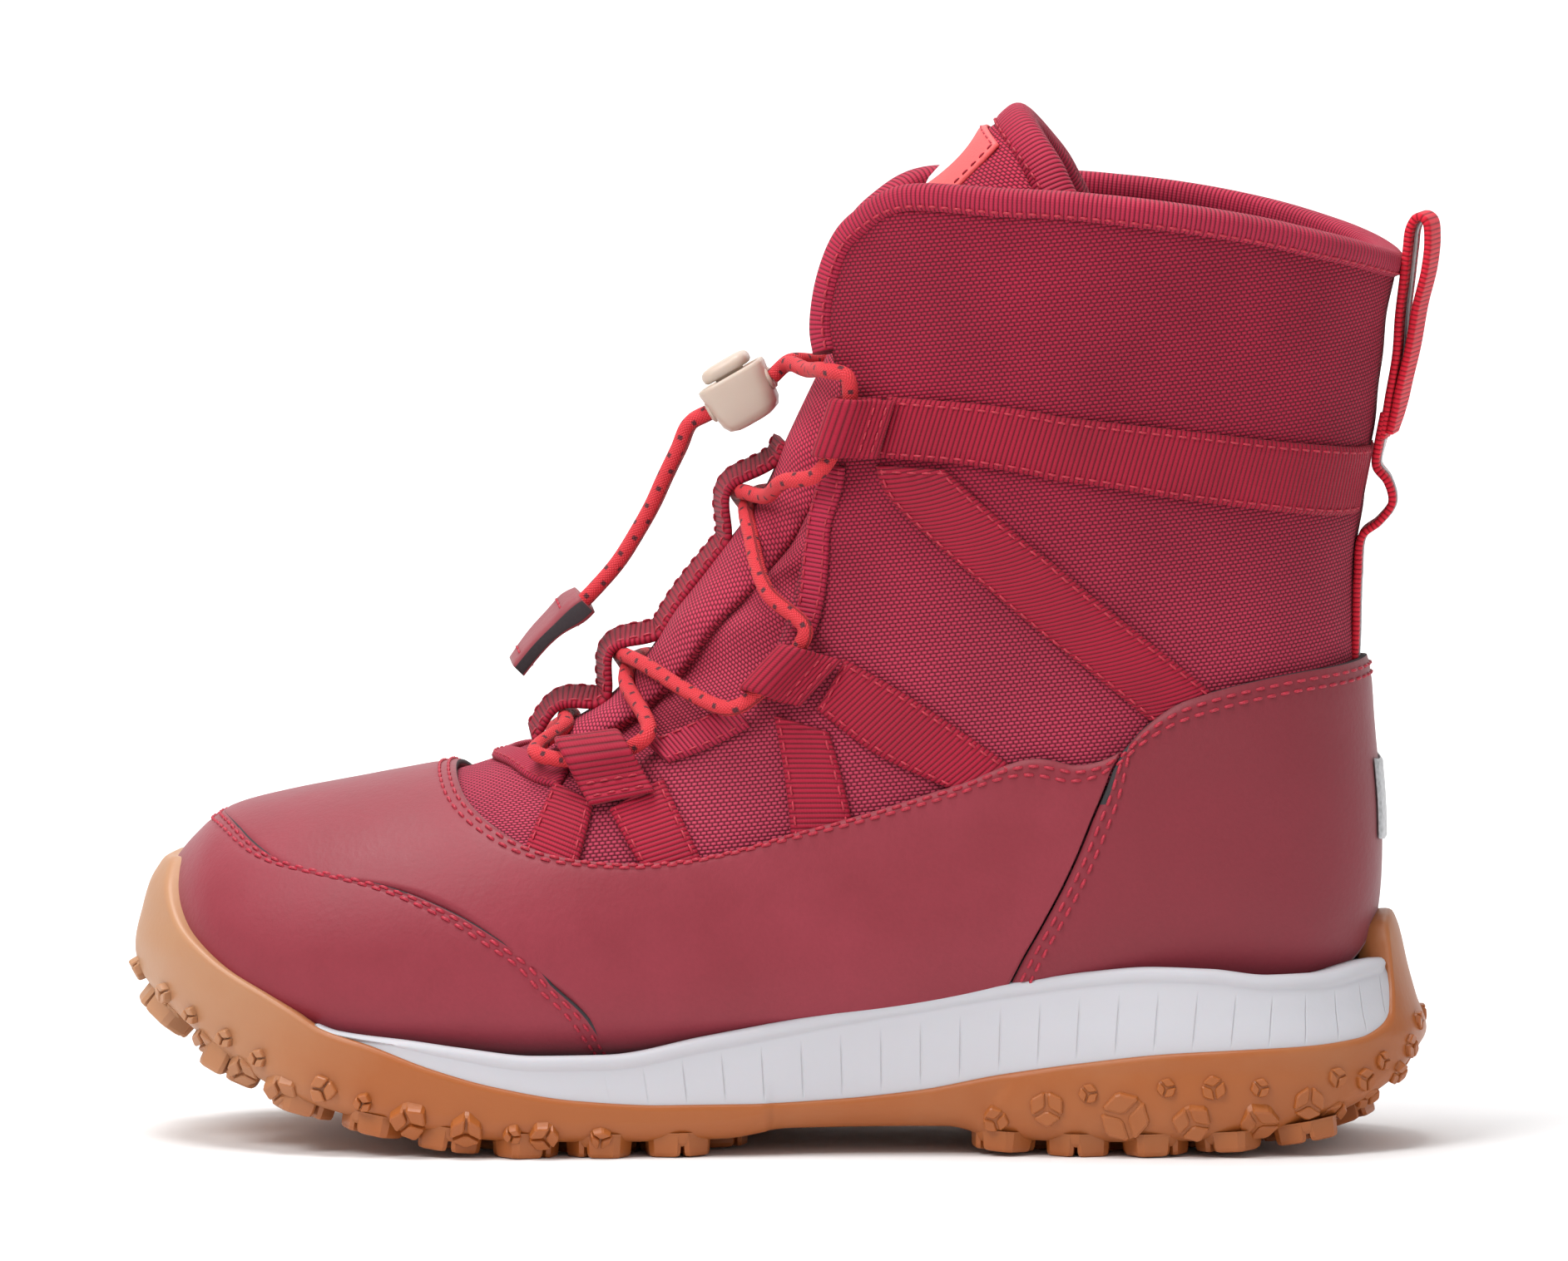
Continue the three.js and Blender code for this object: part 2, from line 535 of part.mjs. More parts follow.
// ---------------------------------------------------------------- webbing on the quarters
// Each strap by its two side-view edges.
const STRAPS = [
  [[[18.9, 119.5], [36.3, 118.2], [62.7, 114.7], [82.5, 112], [93, 110.8]],
    [[16.7, 109.9], [29.7, 109.1], [49.5, 106.1], [62.7, 103.9], [75.9, 101.9], [91, 100.3]]],
  [[[27.8, 108.2], [48, 90.8], [67.6, 74.4]], [[17, 108.6], [18.6, 104.2], [38, 86.5], [58.6, 69.8]]],
  [[[12, 78], [23.1, 71.8], [36.8, 62.6]], [[7.6, 70], [17.9, 62.8], [28.4, 59]]],
  [[[0.9, 68.9], [3.4, 51.6]], [[9.6, 66.6], [13, 54.4]]],
  [[[-34, 57.4], [-37.9, 49]], [[-27.6, 54.8], [-29.4, 47.4]]],
  [[[-25, 53.8], [-20.6, 46.9]], [[-16.6, 58.8], [-11.4, 47.8]]],
];
const TRIMS = {
  upper: [[[8.1, 108.4], [5.6, 96], [3.4, 82.2]], [[12, 108.2], [9.4, 96], [6.9, 81.4]]],
  lower: [[[-5.6, 71], [-12.5, 67.1], [-19.6, 63.9]], [[-2.8, 67.2], [-10, 63.4], [-16, 61.2]]],
};
// Each lace loop: fold edge from its upper to its lower corner, and the stitched edge behind it.
const LOOPS = [
  [[12.4, 119.4], [9.4, 110], [20.4, 119], [18.2, 109.6]],
  [[4, 79.6], [-2.8, 71.8], [12.8, 77.6], [8.4, 69.6]],
  [[-22, 63.2], [-32.6, 60.6], [-19, 58.6], [-27.8, 53.6]],
];
const BORE = 2.3;                 // lace centre to the middle of the tape round it
const LACE_UP = GAP + WEBBING / 2 + BORE;   // height of the lace centre over the canvas in a loop

function strap(index, side) {
  const [a, b] = STRAPS[index].map((points) => spread(
    place(points).map(([u, v]) => [u, Math.min(v, 0.935)]), index < 2 ? 10 : 8));
  return ruled(sideOf(a, side), sideOf(b, side), 2, GAP, GAP + WEBBING);
}

function trim(name, side) {
  const [a, b] = TRIMS[name].map((points) => spread(place(points), 6));
  return ruled(sideOf(a, side), sideOf(b, side), 1, GAP, GAP + WEBBING);
}

// A point over the skin from a side-view point.
function over(side, x, z, out) {
  const [u, v] = locate(x, z);
  return skin(u, side < 0 ? v : 2 - v, out);
}

// q runs from the fold edge back to the stitched edge (millimetres), e across the tape (0 to 1).
function loopPoint(index, side, q, e, out) {
  const [foldUp, foldLow, backUp, backLow] = LOOPS[index];
  const fold = [0, 1].map((k) => mix(foldUp[k], foldLow[k], e));
  const back = [0, 1].map((k) => mix(backUp[k], backLow[k], e));
  const length = Math.hypot(back[0] - fold[0], back[1] - fold[1]);
  return over(side, mix(fold[0], back[0], q / length), mix(fold[1], back[1], q / length), out);
}

function laceLoop(index, side) {
  const centre = 1.9;
  const turn = [0, 1, 2, 3, 4, 5, 6].map((k) => {
    const angle = Math.PI * (1.5 - k / 6 * 1.15);
    return [centre + BORE * Math.cos(angle), LACE_UP + BORE * Math.sin(angle)];
  });
  const path = [[5.8, GAP + WEBBING / 2], [3.6, GAP + WEBBING / 2], ...turn,
    [4.9, LACE_UP - 0.2], [6.3, GAP + WEBBING * 1.5 + 0.4], [7.6, GAP + WEBBING * 1.5 + 0.35]];
  return rings(path.map(([q, out], i) => {
    const [before, after] = [path[Math.max(i - 1, 0)], path[Math.min(i + 1, path.length - 1)]];
    const slope = Math.hypot(after[0] - before[0], after[1] - before[1]);
    const normal = [-(after[1] - before[1]) / slope, (after[0] - before[0]) / slope];
    return [[0, -0.5], [1, -0.5], [1, 0.5], [0, 0.5]].map(([e, h]) => loopPoint(
      index, side, q + normal[0] * h * WEBBING, e, out + normal[1] * h * WEBBING));
  }));
}

// ---------------------------------------------------------------- tongue
// Front line of the tongue (side view), half width and how far its sides curve back.
const tongueLine = spline([
  [-39.5, 63.0, 9.5, 2.5], [-33.0, 66.2, 11.5, 4.0], [-26.4, 70.6, 13.0, 5.5], [-20.4, 77.6, 14.0, 7.0],
  [-15.6, 85.4, 14.8, 8.0], [-10.8, 91.6, 15.2, 9.0], [-6.2, 97.2, 15.4, 9.5], [-2.0, 103.8, 15.8, 10.0],
  [1.6, 112.0, 16.4, 10.5], [6.6, 122.4, 18.0, 13.0], [12.5, 133.4, 20.0, 17.0], [18.0, 142.6, 21.0, 22.0],
  [24.0, 150.8, 21.0, 26.0], [31.0, 158.2, 19.5, 27.0], [36.0, 162.8, 16.5, 22.0],
]);
const TONGUE_THICK = 5;
const SPREAD_ANGLE = 1.45;        // the tongue's sides end at this angle round its curve

// s along the tongue, f across it (-1 lateral edge, 1 medial edge), out over its front face.
function tongue(s, f, out = 0) {
  const e = 0.01;
  const point = (t, g) => {
    const [x, z, half, depth] = tongueLine(t);
    const [x0, z0] = tongueLine(Math.max(t - e, 0));
    const [x1, z1] = tongueLine(Math.min(t + e, 1));
    const length = Math.hypot(x1 - x0, z1 - z0);
    const back = depth * (1 - Math.cos(g * SPREAD_ANGLE));
    return new THREE.Vector3(x + (back * (z1 - z0)) / length, half * Math.sin(g * SPREAD_ANGLE) + bend(x),
      z - (back * (x1 - x0)) / length);
  };
  const ds = point(Math.min(s + e, 1), f).sub(point(Math.max(s - e, 0), f));
  const df = point(s, f + e).sub(point(s, f - e));
  return point(s, f).addScaledVector(df.cross(ds).normalize(), -out);
}

const tonguePad = (s0, s1, f, along, across) => shell(across, along, (a, b, side) => tongue(
  mix(s0, s1, b), mix(-f, f, a), side ? 0 : -TONGUE_THICK));

// A sausage of section width x thick along points, lying the way of the given outward directions.
function roll(stops, width, thick) {
  return rings(stops.map(({ p, out }, i) => {
    const before = stops[Math.max(i - 1, 0)].p;
    const after = stops[Math.min(i + 1, stops.length - 1)].p;
    const tangent = after.clone().sub(before).normalize();
    const up = out.clone().addScaledVector(tangent, -out.dot(tangent)).normalize();
    const side = tangent.clone().cross(up);
    return Array.from({ length: 8 }, (_, k) => p.clone()
      .addScaledVector(side, (Math.cos((k * Math.PI) / 4) * width) / 2)
      .addScaledVector(up, (Math.sin((k * Math.PI) / 4) * thick) / 2));
  }));
}

function collarBinding() {
  const lateral = place([...COLLAR_FRONT, ...COLLAR_TOP]);
  const path = spread([...lateral, [uOfBack(139), 1], ...medial(lateral).reverse()], 44);
  const middle = -(CANVAS + 1.7 + LINING) / 2;
  return roll(path.map(([u, v]) => ({ p: skin(u, v, middle), out: skin(u, v, 1).sub(skin(u, v, 0)) })),
    4.2, 5.6);
}

const TOP_FROM = 0.74;            // where the tongue's top begins, at the collar
function tongueBinding() {
  const f = 0.97;
  const outline = [[TOP_FROM + 0.005, -f], [0.82, -f], [0.9, -f], [0.955, -0.93], [0.985, -0.75],
    [0.995, -0.45],
    [0.997, 0], [0.995, 0.45], [0.985, 0.75], [0.955, 0.93], [0.9, f], [0.82, f], [TOP_FROM + 0.005, f]];
  return roll(spread(outline, 26).map(([s, g]) => ({
    p: tongue(s, g, -TONGUE_THICK / 2), out: tongue(s, g, 1).sub(tongue(s, g, 0)),
  })), 3.6, 6.4);
}

// The tongue's top, drawn in from its binding, with round corners.
function tongueTop() {
  return shell(10, 8, (a, b, side) => {
    const f = mix(-0.8, 0.8, a);
    const last = 0.965 - 0.05 * Math.abs(f / 0.8) ** 4;
    return tongue(mix(TOP_FROM, last, b), f, side ? 0 : -TONGUE_THICK);
  });
}

// Arches of the tongue's webbing: where they begin and end along the tongue, and their height.
const ARCHES = [[0.405, 0.53, 5.9], [0.14, 0.225, 5.9], [0.015, 0.12, 3.4]];

function archHeight(s) {
  const arch = ARCHES.find(([from, to]) => s > from && s < to);
  if (!arch) return 0;
  const f = (s - arch[0]) / (arch[1] - arch[0]);
  return (arch[2] - GAP) * Math.sin(Math.PI * f) ** 0.6;
}

function tongueWebbing() {
  const stops = [];
  const across = new THREE.Vector3(0, 1, 0);
  for (let k = 0; k <= 60; k += 1) {
    const s = mix(0.008, 0.56, k / 60);
    stops.push({ p: tongue(s, 0, GAP + WEBBING / 2 + archHeight(s)), w: across });
  }
  return tape(stops, WEBBING_WIDTH, WEBBING);
}

// The line inside the quarter's edge where the gusset is sewn.
const spreadThroat = spread(place(THROAT.slice(2).map(([x, z]) => [x + 3, z - 1])), 10);

// Thin fabric from the tongue's side to between the quarter's canvas and its lining.
function gusset(side) {
  return shell(4, 10, (a, b, face) => {
    const s = mix(0.2, 0.56, b);
    const start = tongue(s, side * 1.0, -TONGUE_THICK / 2 - 0.2);
    const away = tongue(s, side * 1.06, -TONGUE_THICK / 2 - 0.2).sub(start).normalize();
    const from = start.addScaledVector(away, 1.1);
    const [u, v] = spreadThroat[Math.round(b * 10)];
    const to = skin(u, side < 0 ? v : 2 - v, -CANVAS - 0.5);
    const out = skin(u, side < 0 ? v : 2 - v, 1).sub(skin(u, side < 0 ? v : 2 - v, 0));
    const p = from.lerp(to, a);
    return p.addScaledVector(out, face ? 0.0 : -0.55);
  });
}

// ---------------------------------------------------------------- heel webbing
const tapeInPlane = (points, count, width) => {
  const across = new THREE.Vector3(0, 1, 0);
  return tape(evenly(points.map(([x, z]) => [x, 0, z]), count).map((p) => ({
    p: new THREE.Vector3(...p), w: across,
  })), width, WEBBING);
};

const BACK_STRAP = [[92.9, 78.8], [92.5, 90], [93.3, 96.6], [95.4, 98.4], [97.2, 101.4], [96.4, 104.8],
  [94.8, 106.8], [95, 109.5], [95.9, 113.4]];
const PULL_LOOP = [[96.6, 115.4], [97.3, 119], [98.3, 125], [98.7, 131], [99.4, 137], [99.9, 141.5],
  [100.4, 145], [101.6, 146.7], [102.9, 146], [103.3, 143], [102.8, 138.2], [101.4, 132.4], [100.4, 126],
  [99.2, 120.4],
  [98.3, 115.4]];

// ---------------------------------------------------------------- cord lock and lace
const LOCK = {
  x: -5.6, z: 117.2, tilt: Math.PI / 6, length: 11.4, bottom: -3.8, top: 3.1, depth: 13, apart: 2.7,
};
const lockAxis = new THREE.Vector3(Math.cos(LOCK.tilt), 0, Math.sin(LOCK.tilt));
const lockUp = new THREE.Vector3(-Math.sin(LOCK.tilt), 0, Math.cos(LOCK.tilt));
const HOLE_UP = 0.9;              // the cord holes' height over the body's middle
const PRESS = 1.4;                 // travel of the button

// a along the cords, y across, h along the button's travel.
const inLock = (a, y, h) => new THREE.Vector3(LOCK.x, 0, LOCK.z).addScaledVector(lockAxis, a)
  .addScaledVector(lockUp, h).setY(y);

// Prism of a side outline (a, h) between two y, placed in the lock.
function lockPrism(outline, y0, y1) {
  const shape = new THREE.Shape(outline.map(([a, h]) => new THREE.Vector2(a, h)));
  const geometry = new THREE.ExtrudeGeometry(shape, { depth: y1 - y0, bevelEnabled: false });
  const position = geometry.getAttribute('position');
  for (let i = 0; i < position.count; i += 1) {
    const p = inLock(position.getX(i), y0 + position.getZ(i), position.getY(i));
    position.setXYZ(i, p.x, p.y, p.z);
  }
  // The lock's own axes are left-handed, so the faces are turned round.
  const flat = geometry.index ? geometry.toNonIndexed() : geometry;
  const at = flat.getAttribute('position');
  for (let i = 0; i < at.count; i += 3) {
    const [b, c] = [i + 1, i + 2].map((k) => [at.getX(k), at.getY(k), at.getZ(k)]);
    at.setXYZ(i + 1, ...c);
    at.setXYZ(i + 2, ...b);
  }
  return flat;
}

const boxOutline = (a, h0, h1) => [[-a, h0], [a, h0], [a, h1], [-a, h1]];

function lockHole(y, radius) {
  const points = [inLock(-9, y, HOLE_UP), inLock(0, y, HOLE_UP), inLock(9, y, HOLE_UP)];
  return toManifold(cordTube(points, 2 * radius, 2, 12));
}

function lockBody() {
  const half = LOCK.length / 2;
  const { bottom, top } = LOCK;
  const rim = top + PRESS;
  const outline = [[-half + 0.9, bottom + 0.7], [-half * 0.4, bottom - 0.2], [half * 0.4, bottom - 0.2],
    [half - 0.9, bottom + 0.7], [half - 0.3, 0], [half, rim], [-half, rim], [-half + 0.3, 0]];
  let body = toManifold(lockPrism(outline, -LOCK.depth / 2, LOCK.depth / 2));
  body = body.subtract(toManifold(lockPrism(boxOutline(2.6, bottom + 0.8, rim + 1), -5.3, 5.3)));
  body = body.subtract(toManifold(lockPrism(boxOutline(4.5, top, rim + 1), -5.95, 5.95)));
  for (const y of [-LOCK.apart, LOCK.apart]) body = body.subtract(lockHole(y, 1.75));
  return fromManifold(body);
}

function lockButton() {
  const { top } = LOCK;
  const barTop = HOLE_UP - CORD / 2 - 0.35;
  let body = toManifold(lockPrism(boxOutline(2.3, barTop - 0.7, top + 1.2), -5, 5));
  const head = [[-4.1, top + PRESS + 0.3], [4.1, top + PRESS + 0.3], [3.8, top + PRESS + 2.4],
    [-3.8, top + PRESS + 2.4]];
  body = body.add(toManifold(lockPrism(boxOutline(2.3, top + 1, top + PRESS + 0.6), -5, 5)));
  body = body.add(toManifold(lockPrism(head, -5.6, 5.6)));
  body = body.subtract(toManifold(lockPrism(boxOutline(4, barTop, barTop + CORD + 0.7 + PRESS), -4.3, 4.3)));
  return fromManifold(body);
}

function lockSpring() {
  const bottom = LOCK.bottom + 0.8;
  const room1 = HOLE_UP - CORD / 2 - 0.35 - 0.7 - bottom;
  const points = [];
  for (let k = 0; k <= 24; k += 1) {
    const angle = (k / 24) * 4 * Math.PI;
    const rise = mix(0.35, room1 - 0.35, k / 24);
    points.push(inLock(1.5 * Math.cos(angle), 1.5 * Math.sin(angle), bottom + rise));
  }
  return cordTube(points, 0.4, 26, 6);
}

// The lace from the lock's lateral hole through every loop and arch back to its medial hole.
function throughLoop(index, side, upward) {
  const ways = [[-0.3, 1.2, 0.7], [0, 1.9, 0], [0.5, 1.9, 0], [1, 1.9, 0], [1.3, 1.2, 0.7]];
  const stops = ways.map(([e, q, rise]) => loopPoint(index, side, q, e, LACE_UP + rise));
  return upward ? stops.reverse() : stops;
}

function throughArch(index, fromSide, drop, high) {
  const [from, to] = ARCHES[index];
  const s = (from + to) / 2;
  const low = GAP + CORD / 2;
  const lift = high ? CORD + 0.35 : 0;
  return [-0.52, -0.22, 0, 0.22, 0.52].map((f) => tongue(
    s - drop * f, -fromSide * f, low + lift * Math.max(0, 1 - Math.abs(f) * 1.2)));
}

function laceStops() {
  const exit = (y) => [inLock(LOCK.length / 2 + 0.4, y, HOLE_UP),
    inLock(LOCK.length / 2 + 3, y * 1.15, HOLE_UP + 0.6)];
  const reach = (side) => [new THREE.Vector3(5, side * 11, 122.6), over(side, 10.6, 123.4, LACE_UP)];
  // Past the tape along the throat's edge.
  const pass = (side, x, z) => over(side, x, z, LACE_UP + 0.3);
  return [
    ...exit(-LOCK.apart), ...reach(-1),
    ...throughLoop(0, -1, false), pass(-1, 4.6, 105.6), ...throughArch(0, -1, 0.05, true),
    pass(1, 1.8, 85.4), ...throughLoop(1, 1, false), ...throughArch(1, 1, 0.03, false),
    ...throughLoop(2, -1, false), ...throughArch(2, -1, 0, false),
    ...throughLoop(2, 1, true), ...throughArch(1, 1, -0.03, true),
    ...throughLoop(1, -1, true), pass(-1, 1.8, 85.4), ...throughArch(0, -1, -0.05, false),
    pass(1, 4.6, 105.6), ...throughLoop(0, 1, true), ...reach(1).reverse(), ...exit(LOCK.apart).reverse(),
  ];
}

// The free ends: straight out of the lock, then down to the tab.
const TAIL = [[-15.9, 109.4], [-18.2, 104.6], [-20, 100.6], [-22.2, 96.6], [-25.6, 91.2], [-29.2, 87],
  [-31.2, 84.9]];
function tail(side) {
  const y = side * LOCK.apart;
  const half = LOCK.length / 2;
  const start = [half + 0.1, 0, -half, -half - 3.6].map((a) => inLock(a, y, HOLE_UP));
  const rest = TAIL.map(([x, z], i) => new THREE.Vector3(x, y - side * Math.min(i, 4) * 0.28, z));
  return cordTube([...start, ...rest], CORD, 14);
}

// Folded leatherette tab that holds both ends: a flat block, its upper end split round the cords.
function laceTab() {
  const along = new THREE.Vector3(-0.71, 0, -0.7).normalize();
  const start = new THREE.Vector3(-31.9, 0, 84.2);
  const across = new THREE.Vector3(0, 1, 0);
  const stops = [0, 3, 7, 11, 14.6].map((d) => ({ p: start.clone().addScaledVector(along, d), w: across }));
  return tape(stops, 9, 4.4);
}

// ---------------------------------------------------------------- assembly
const boot = new THREE.Group();
boot.name = 'winter_boot';

function add(name, geometry, color, roughness, metalness = 0) {
  const material = new THREE.MeshStandardMaterial({ color, roughness, metalness });
  material.name = name;
  const mesh = new THREE.Mesh(geometry, material);
  mesh.name = name;
  boot.add(mesh);
}

add('outsole', fromManifold(biggest(outsole().subtract(room))), COLOUR.gum, 0.55);
add('midsole', midsole(), COLOUR.midsole, 0.7);
add('insole_board', layer(0.12, 0.56, 0.84, 1.16, -2.4, -0.6, 12, 4), COLOUR.board, 0.9);
add('footbed', layer(0.12, 0.6, 0.82, 1.18, -CANVAS - 1.7 - LINING - 4, -CANVAS - 1.7 - LINING - 1, 12, 6),
  COLOUR.grey, 0.95);
add('heel_badge', tape([26, 28.3, 30.6, 33].map((z) => ({
  p: new THREE.Vector3(heelBackX(z) + 1.2, 0, z), w: new THREE.Vector3(0, 1, 0),
})), 7, 1), COLOUR.red, 0.4);
add('lining', lining(), COLOUR.lining, 0.95);
add('toe_puff', layer(0.04, 0.27, -0.62, 0.62, -CANVAS - 0.2 - STIFFENER, -CANVAS - 0.2, 6, 12),
  COLOUR.board, 0.8);
add('heel_stiffener', layer(0.68, 0.795, 0.72, 1.28, -CANVAS - 0.45 - STIFFENER, -CANVAS - 0.45, 6, 12),
  COLOUR.board, 0.8);
add('vamp_canvas', vampCanvas(), COLOUR.canvas, 0.85);
add('throat_trim', throatTrim(), COLOUR.webbing, 0.8);
add('toe_cap', toeCap(), COLOUR.leather, 0.6);
add('vamp_overlay', vampOverlay(), COLOUR.leather, 0.6);
add('heel_counter_overlay', counterOverlay(), COLOUR.leather, 0.6);
add('collar_binding', collarBinding(), COLOUR.webbing, 0.8);
add('tongue_body', tonguePad(0.01, TOP_FROM - 0.01, 0.98, 16, 8), COLOUR.canvas, 0.85);
add('tongue_top', tongueTop(), COLOUR.canvas, 0.85);
add('tongue_binding', tongueBinding(), COLOUR.webbing, 0.8);
add('tongue_label', shell(6, 3, (a, b, side) => tongue(mix(0.85, 0.955, b), mix(-0.36, 0.36, a),
  side ? GAP + 0.6 : GAP)), COLOUR.red, 0.5);
add('tongue_webbing', tongueWebbing(), COLOUR.webbing, 0.8);
for (const [name, side] of [['lateral', -1], ['medial', 1]]) {
  add(`canvas_${name}`, quarter(side), COLOUR.canvas, 0.85);
  add(`gusset_${name}`, gusset(side), COLOUR.canvas, 0.9);
  for (const which of ['upper', 'lower']) {
    add(`trim_${which}_${name}`, trim(which, side), COLOUR.webbing, 0.8);
  }
  STRAPS.forEach((_, i) => add(`strap_${i + 1}_${name}`, strap(i, side), COLOUR.webbing, 0.8));
  LOOPS.forEach((_, i) => add(`lace_loop_${i + 1}_${name}`, laceLoop(i, side), COLOUR.webbing, 0.8));
  add(`tail_${name}`, tail(side), COLOUR.cord, 0.7);
}
add('back_strap', tapeInPlane(BACK_STRAP, 24, WEBBING_WIDTH), COLOUR.red, 0.75);
add('pull_loop', tapeInPlane(PULL_LOOP, 36, WEBBING_WIDTH), COLOUR.red, 0.75);
add('heel_reflector', layer(uOfBack(48), uOfBack(60.5), 0.945, 1.055, UNDER_LEATHER + COUNTER + GAP,
  UNDER_LEATHER + COUNTER + GAP + 0.5, 4, 4),
  COLOUR.grey, 0.35);
add('lace', cordTube(laceStops(), CORD, 96), COLOUR.cord, 0.7);
add('lace_tab', laceTab(), COLOUR.tab, 0.6);
add('lock_body', lockBody(), COLOUR.lock, 0.4);
add('lock_button', lockButton(), COLOUR.lock, 0.4);
add('lock_spring', lockSpring(), COLOUR.steel, 0.3, 1);

boot.position.copy(SHIFT);
export default boot;
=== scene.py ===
"""Looks of the child's winter boot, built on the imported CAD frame."""

import math

import bmesh
import bpy
import numpy as np
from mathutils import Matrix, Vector


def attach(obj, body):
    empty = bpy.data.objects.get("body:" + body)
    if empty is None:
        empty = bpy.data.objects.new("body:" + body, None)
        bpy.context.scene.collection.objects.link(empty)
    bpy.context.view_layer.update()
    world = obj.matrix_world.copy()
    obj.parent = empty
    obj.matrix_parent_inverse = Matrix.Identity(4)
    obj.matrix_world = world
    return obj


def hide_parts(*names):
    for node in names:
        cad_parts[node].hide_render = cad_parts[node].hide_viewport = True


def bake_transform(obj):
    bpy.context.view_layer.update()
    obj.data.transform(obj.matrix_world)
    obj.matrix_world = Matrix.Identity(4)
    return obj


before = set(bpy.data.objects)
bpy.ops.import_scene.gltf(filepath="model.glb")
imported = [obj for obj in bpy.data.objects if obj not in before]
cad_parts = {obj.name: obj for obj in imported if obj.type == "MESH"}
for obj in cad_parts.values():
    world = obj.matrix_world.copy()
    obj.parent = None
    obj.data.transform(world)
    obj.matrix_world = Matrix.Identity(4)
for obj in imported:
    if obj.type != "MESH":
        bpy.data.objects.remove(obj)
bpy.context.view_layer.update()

# ------------------------------------------------------------------ driving dimensions (mm)
MM = 0.001
SHIFT = np.array([-0.9, -0.75, 0.0])      # part.mjs moves the boot by this onto its origin
GAP = 0.4
CANVAS = 1.0
LINING = 1.0
LINING_GAP = 1.7                          # room for the padding between the canvas and the lining
UNDER_LEATHER = 0.6
LEATHER = 1.2
COUNTER = 1.6
WEBBING = 1.2
WEBBING_WIDTH = 10.0
CORD = 2.5
STITCH_PITCH = 2.5
STITCH_RADIUS = 0.27
RIB_PITCH = 0.8
WEAVE_PITCH = 0.95

# ------------------------------------------------------------------ curve helpers
def spline(rows, at):
    """Smooth curve through the rows, read at s in 0..1 (numbers or an array)."""
    rows = np.asarray(rows, float)
    last = len(rows) - 1
    at = np.clip(np.asarray(at, float), 0, 1) * last
    i = np.minimum(at.astype(int), last - 1)
    f = (at - i)[..., None]
    a, b, c, d = (rows[np.clip(i + k, 0, last)] for k in (-1, 0, 1, 2))
    m0 = (c - a) / 2
    m1 = (d - b) / 2
    rise = c - b
    return b + f * (m0 + f * (3 * rise - 2 * m0 - m1 + f * (m0 + m1 - 2 * rise)))


def smooth_table(points):
    """y of x through a table of points, with no overshoot."""
    xs, ys = np.array(points, float).T
    slope = np.diff(ys) / np.diff(xs)
    m = np.zeros(len(xs))
    for i in range(1, len(xs) - 1):
        if slope[i - 1] * slope[i] > 0:
            m[i] = 2 / (1 / slope[i - 1] + 1 / slope[i])
    m[0], m[-1] = slope[0], slope[-1]

    def read(x):
        x = np.clip(np.asarray(x, float), xs[0], xs[-1])
        i = np.clip(np.searchsorted(xs, x) - 1, 0, len(xs) - 2)
        h = xs[i + 1] - xs[i]
        t = (x - xs[i]) / h
        return ((1 + 2 * t) * (1 - t) ** 2 * ys[i] + t * (1 - t) ** 2 * h * m[i]
                + t * t * (3 - 2 * t) * ys[i + 1] + t * t * (t - 1) * h * m[i + 1])
    return read


def evenly(points, count):
    """count + 1 points spaced evenly along a smooth curve through the points."""
    p = np.asarray(points, float)
    ends = np.vstack([2 * p[0] - p[1], p, 2 * p[-1] - p[-2]])
    dense = []
    for i in range(1, len(ends) - 2):
        a, b, c, d = ends[i - 1:i + 3]
        t0 = 0.0
        t1 = t0 + max(np.linalg.norm(b - a), 1e-9) ** 0.5
        t2 = t1 + max(np.linalg.norm(c - b), 1e-9) ** 0.5
        t3 = t2 + max(np.linalg.norm(d - c), 1e-9) ** 0.5
        t = np.linspace(t1, t2, 24, endpoint=False)[:, None]
        q1 = (t1 - t) / (t1 - t0) * a + (t - t0) / (t1 - t0) * b
        q2 = (t2 - t) / (t2 - t1) * b + (t - t1) / (t2 - t1) * c
        q3 = (t3 - t) / (t3 - t2) * c + (t - t2) / (t3 - t2) * d
        r1 = (t2 - t) / (t2 - t0) * q1 + (t - t0) / (t2 - t0) * q2
        r2 = (t3 - t) / (t3 - t1) * q2 + (t - t1) / (t3 - t1) * q3
        dense.append((t2 - t) / (t2 - t1) * r1 + (t - t1) / (t2 - t1) * r2)
    dense = np.vstack(dense + [p[-1:]])
    return resample(dense, count)


def travelled(line):
    """Distance along a line of points at each of them."""
    return np.concatenate([[0], np.cumsum(np.linalg.norm(np.diff(line, axis=0), axis=1))])


def resample(line, count):
    """count + 1 points spaced evenly along a line of points."""
    run = travelled(line)
    at = np.linspace(0, run[-1], count + 1)
    return np.stack([np.interp(at, run, line[:, k]) for k in range(line.shape[1])], axis=1)


def unit(v):
    return v / np.maximum(np.linalg.norm(v, axis=-1, keepdims=True), 1e-12)


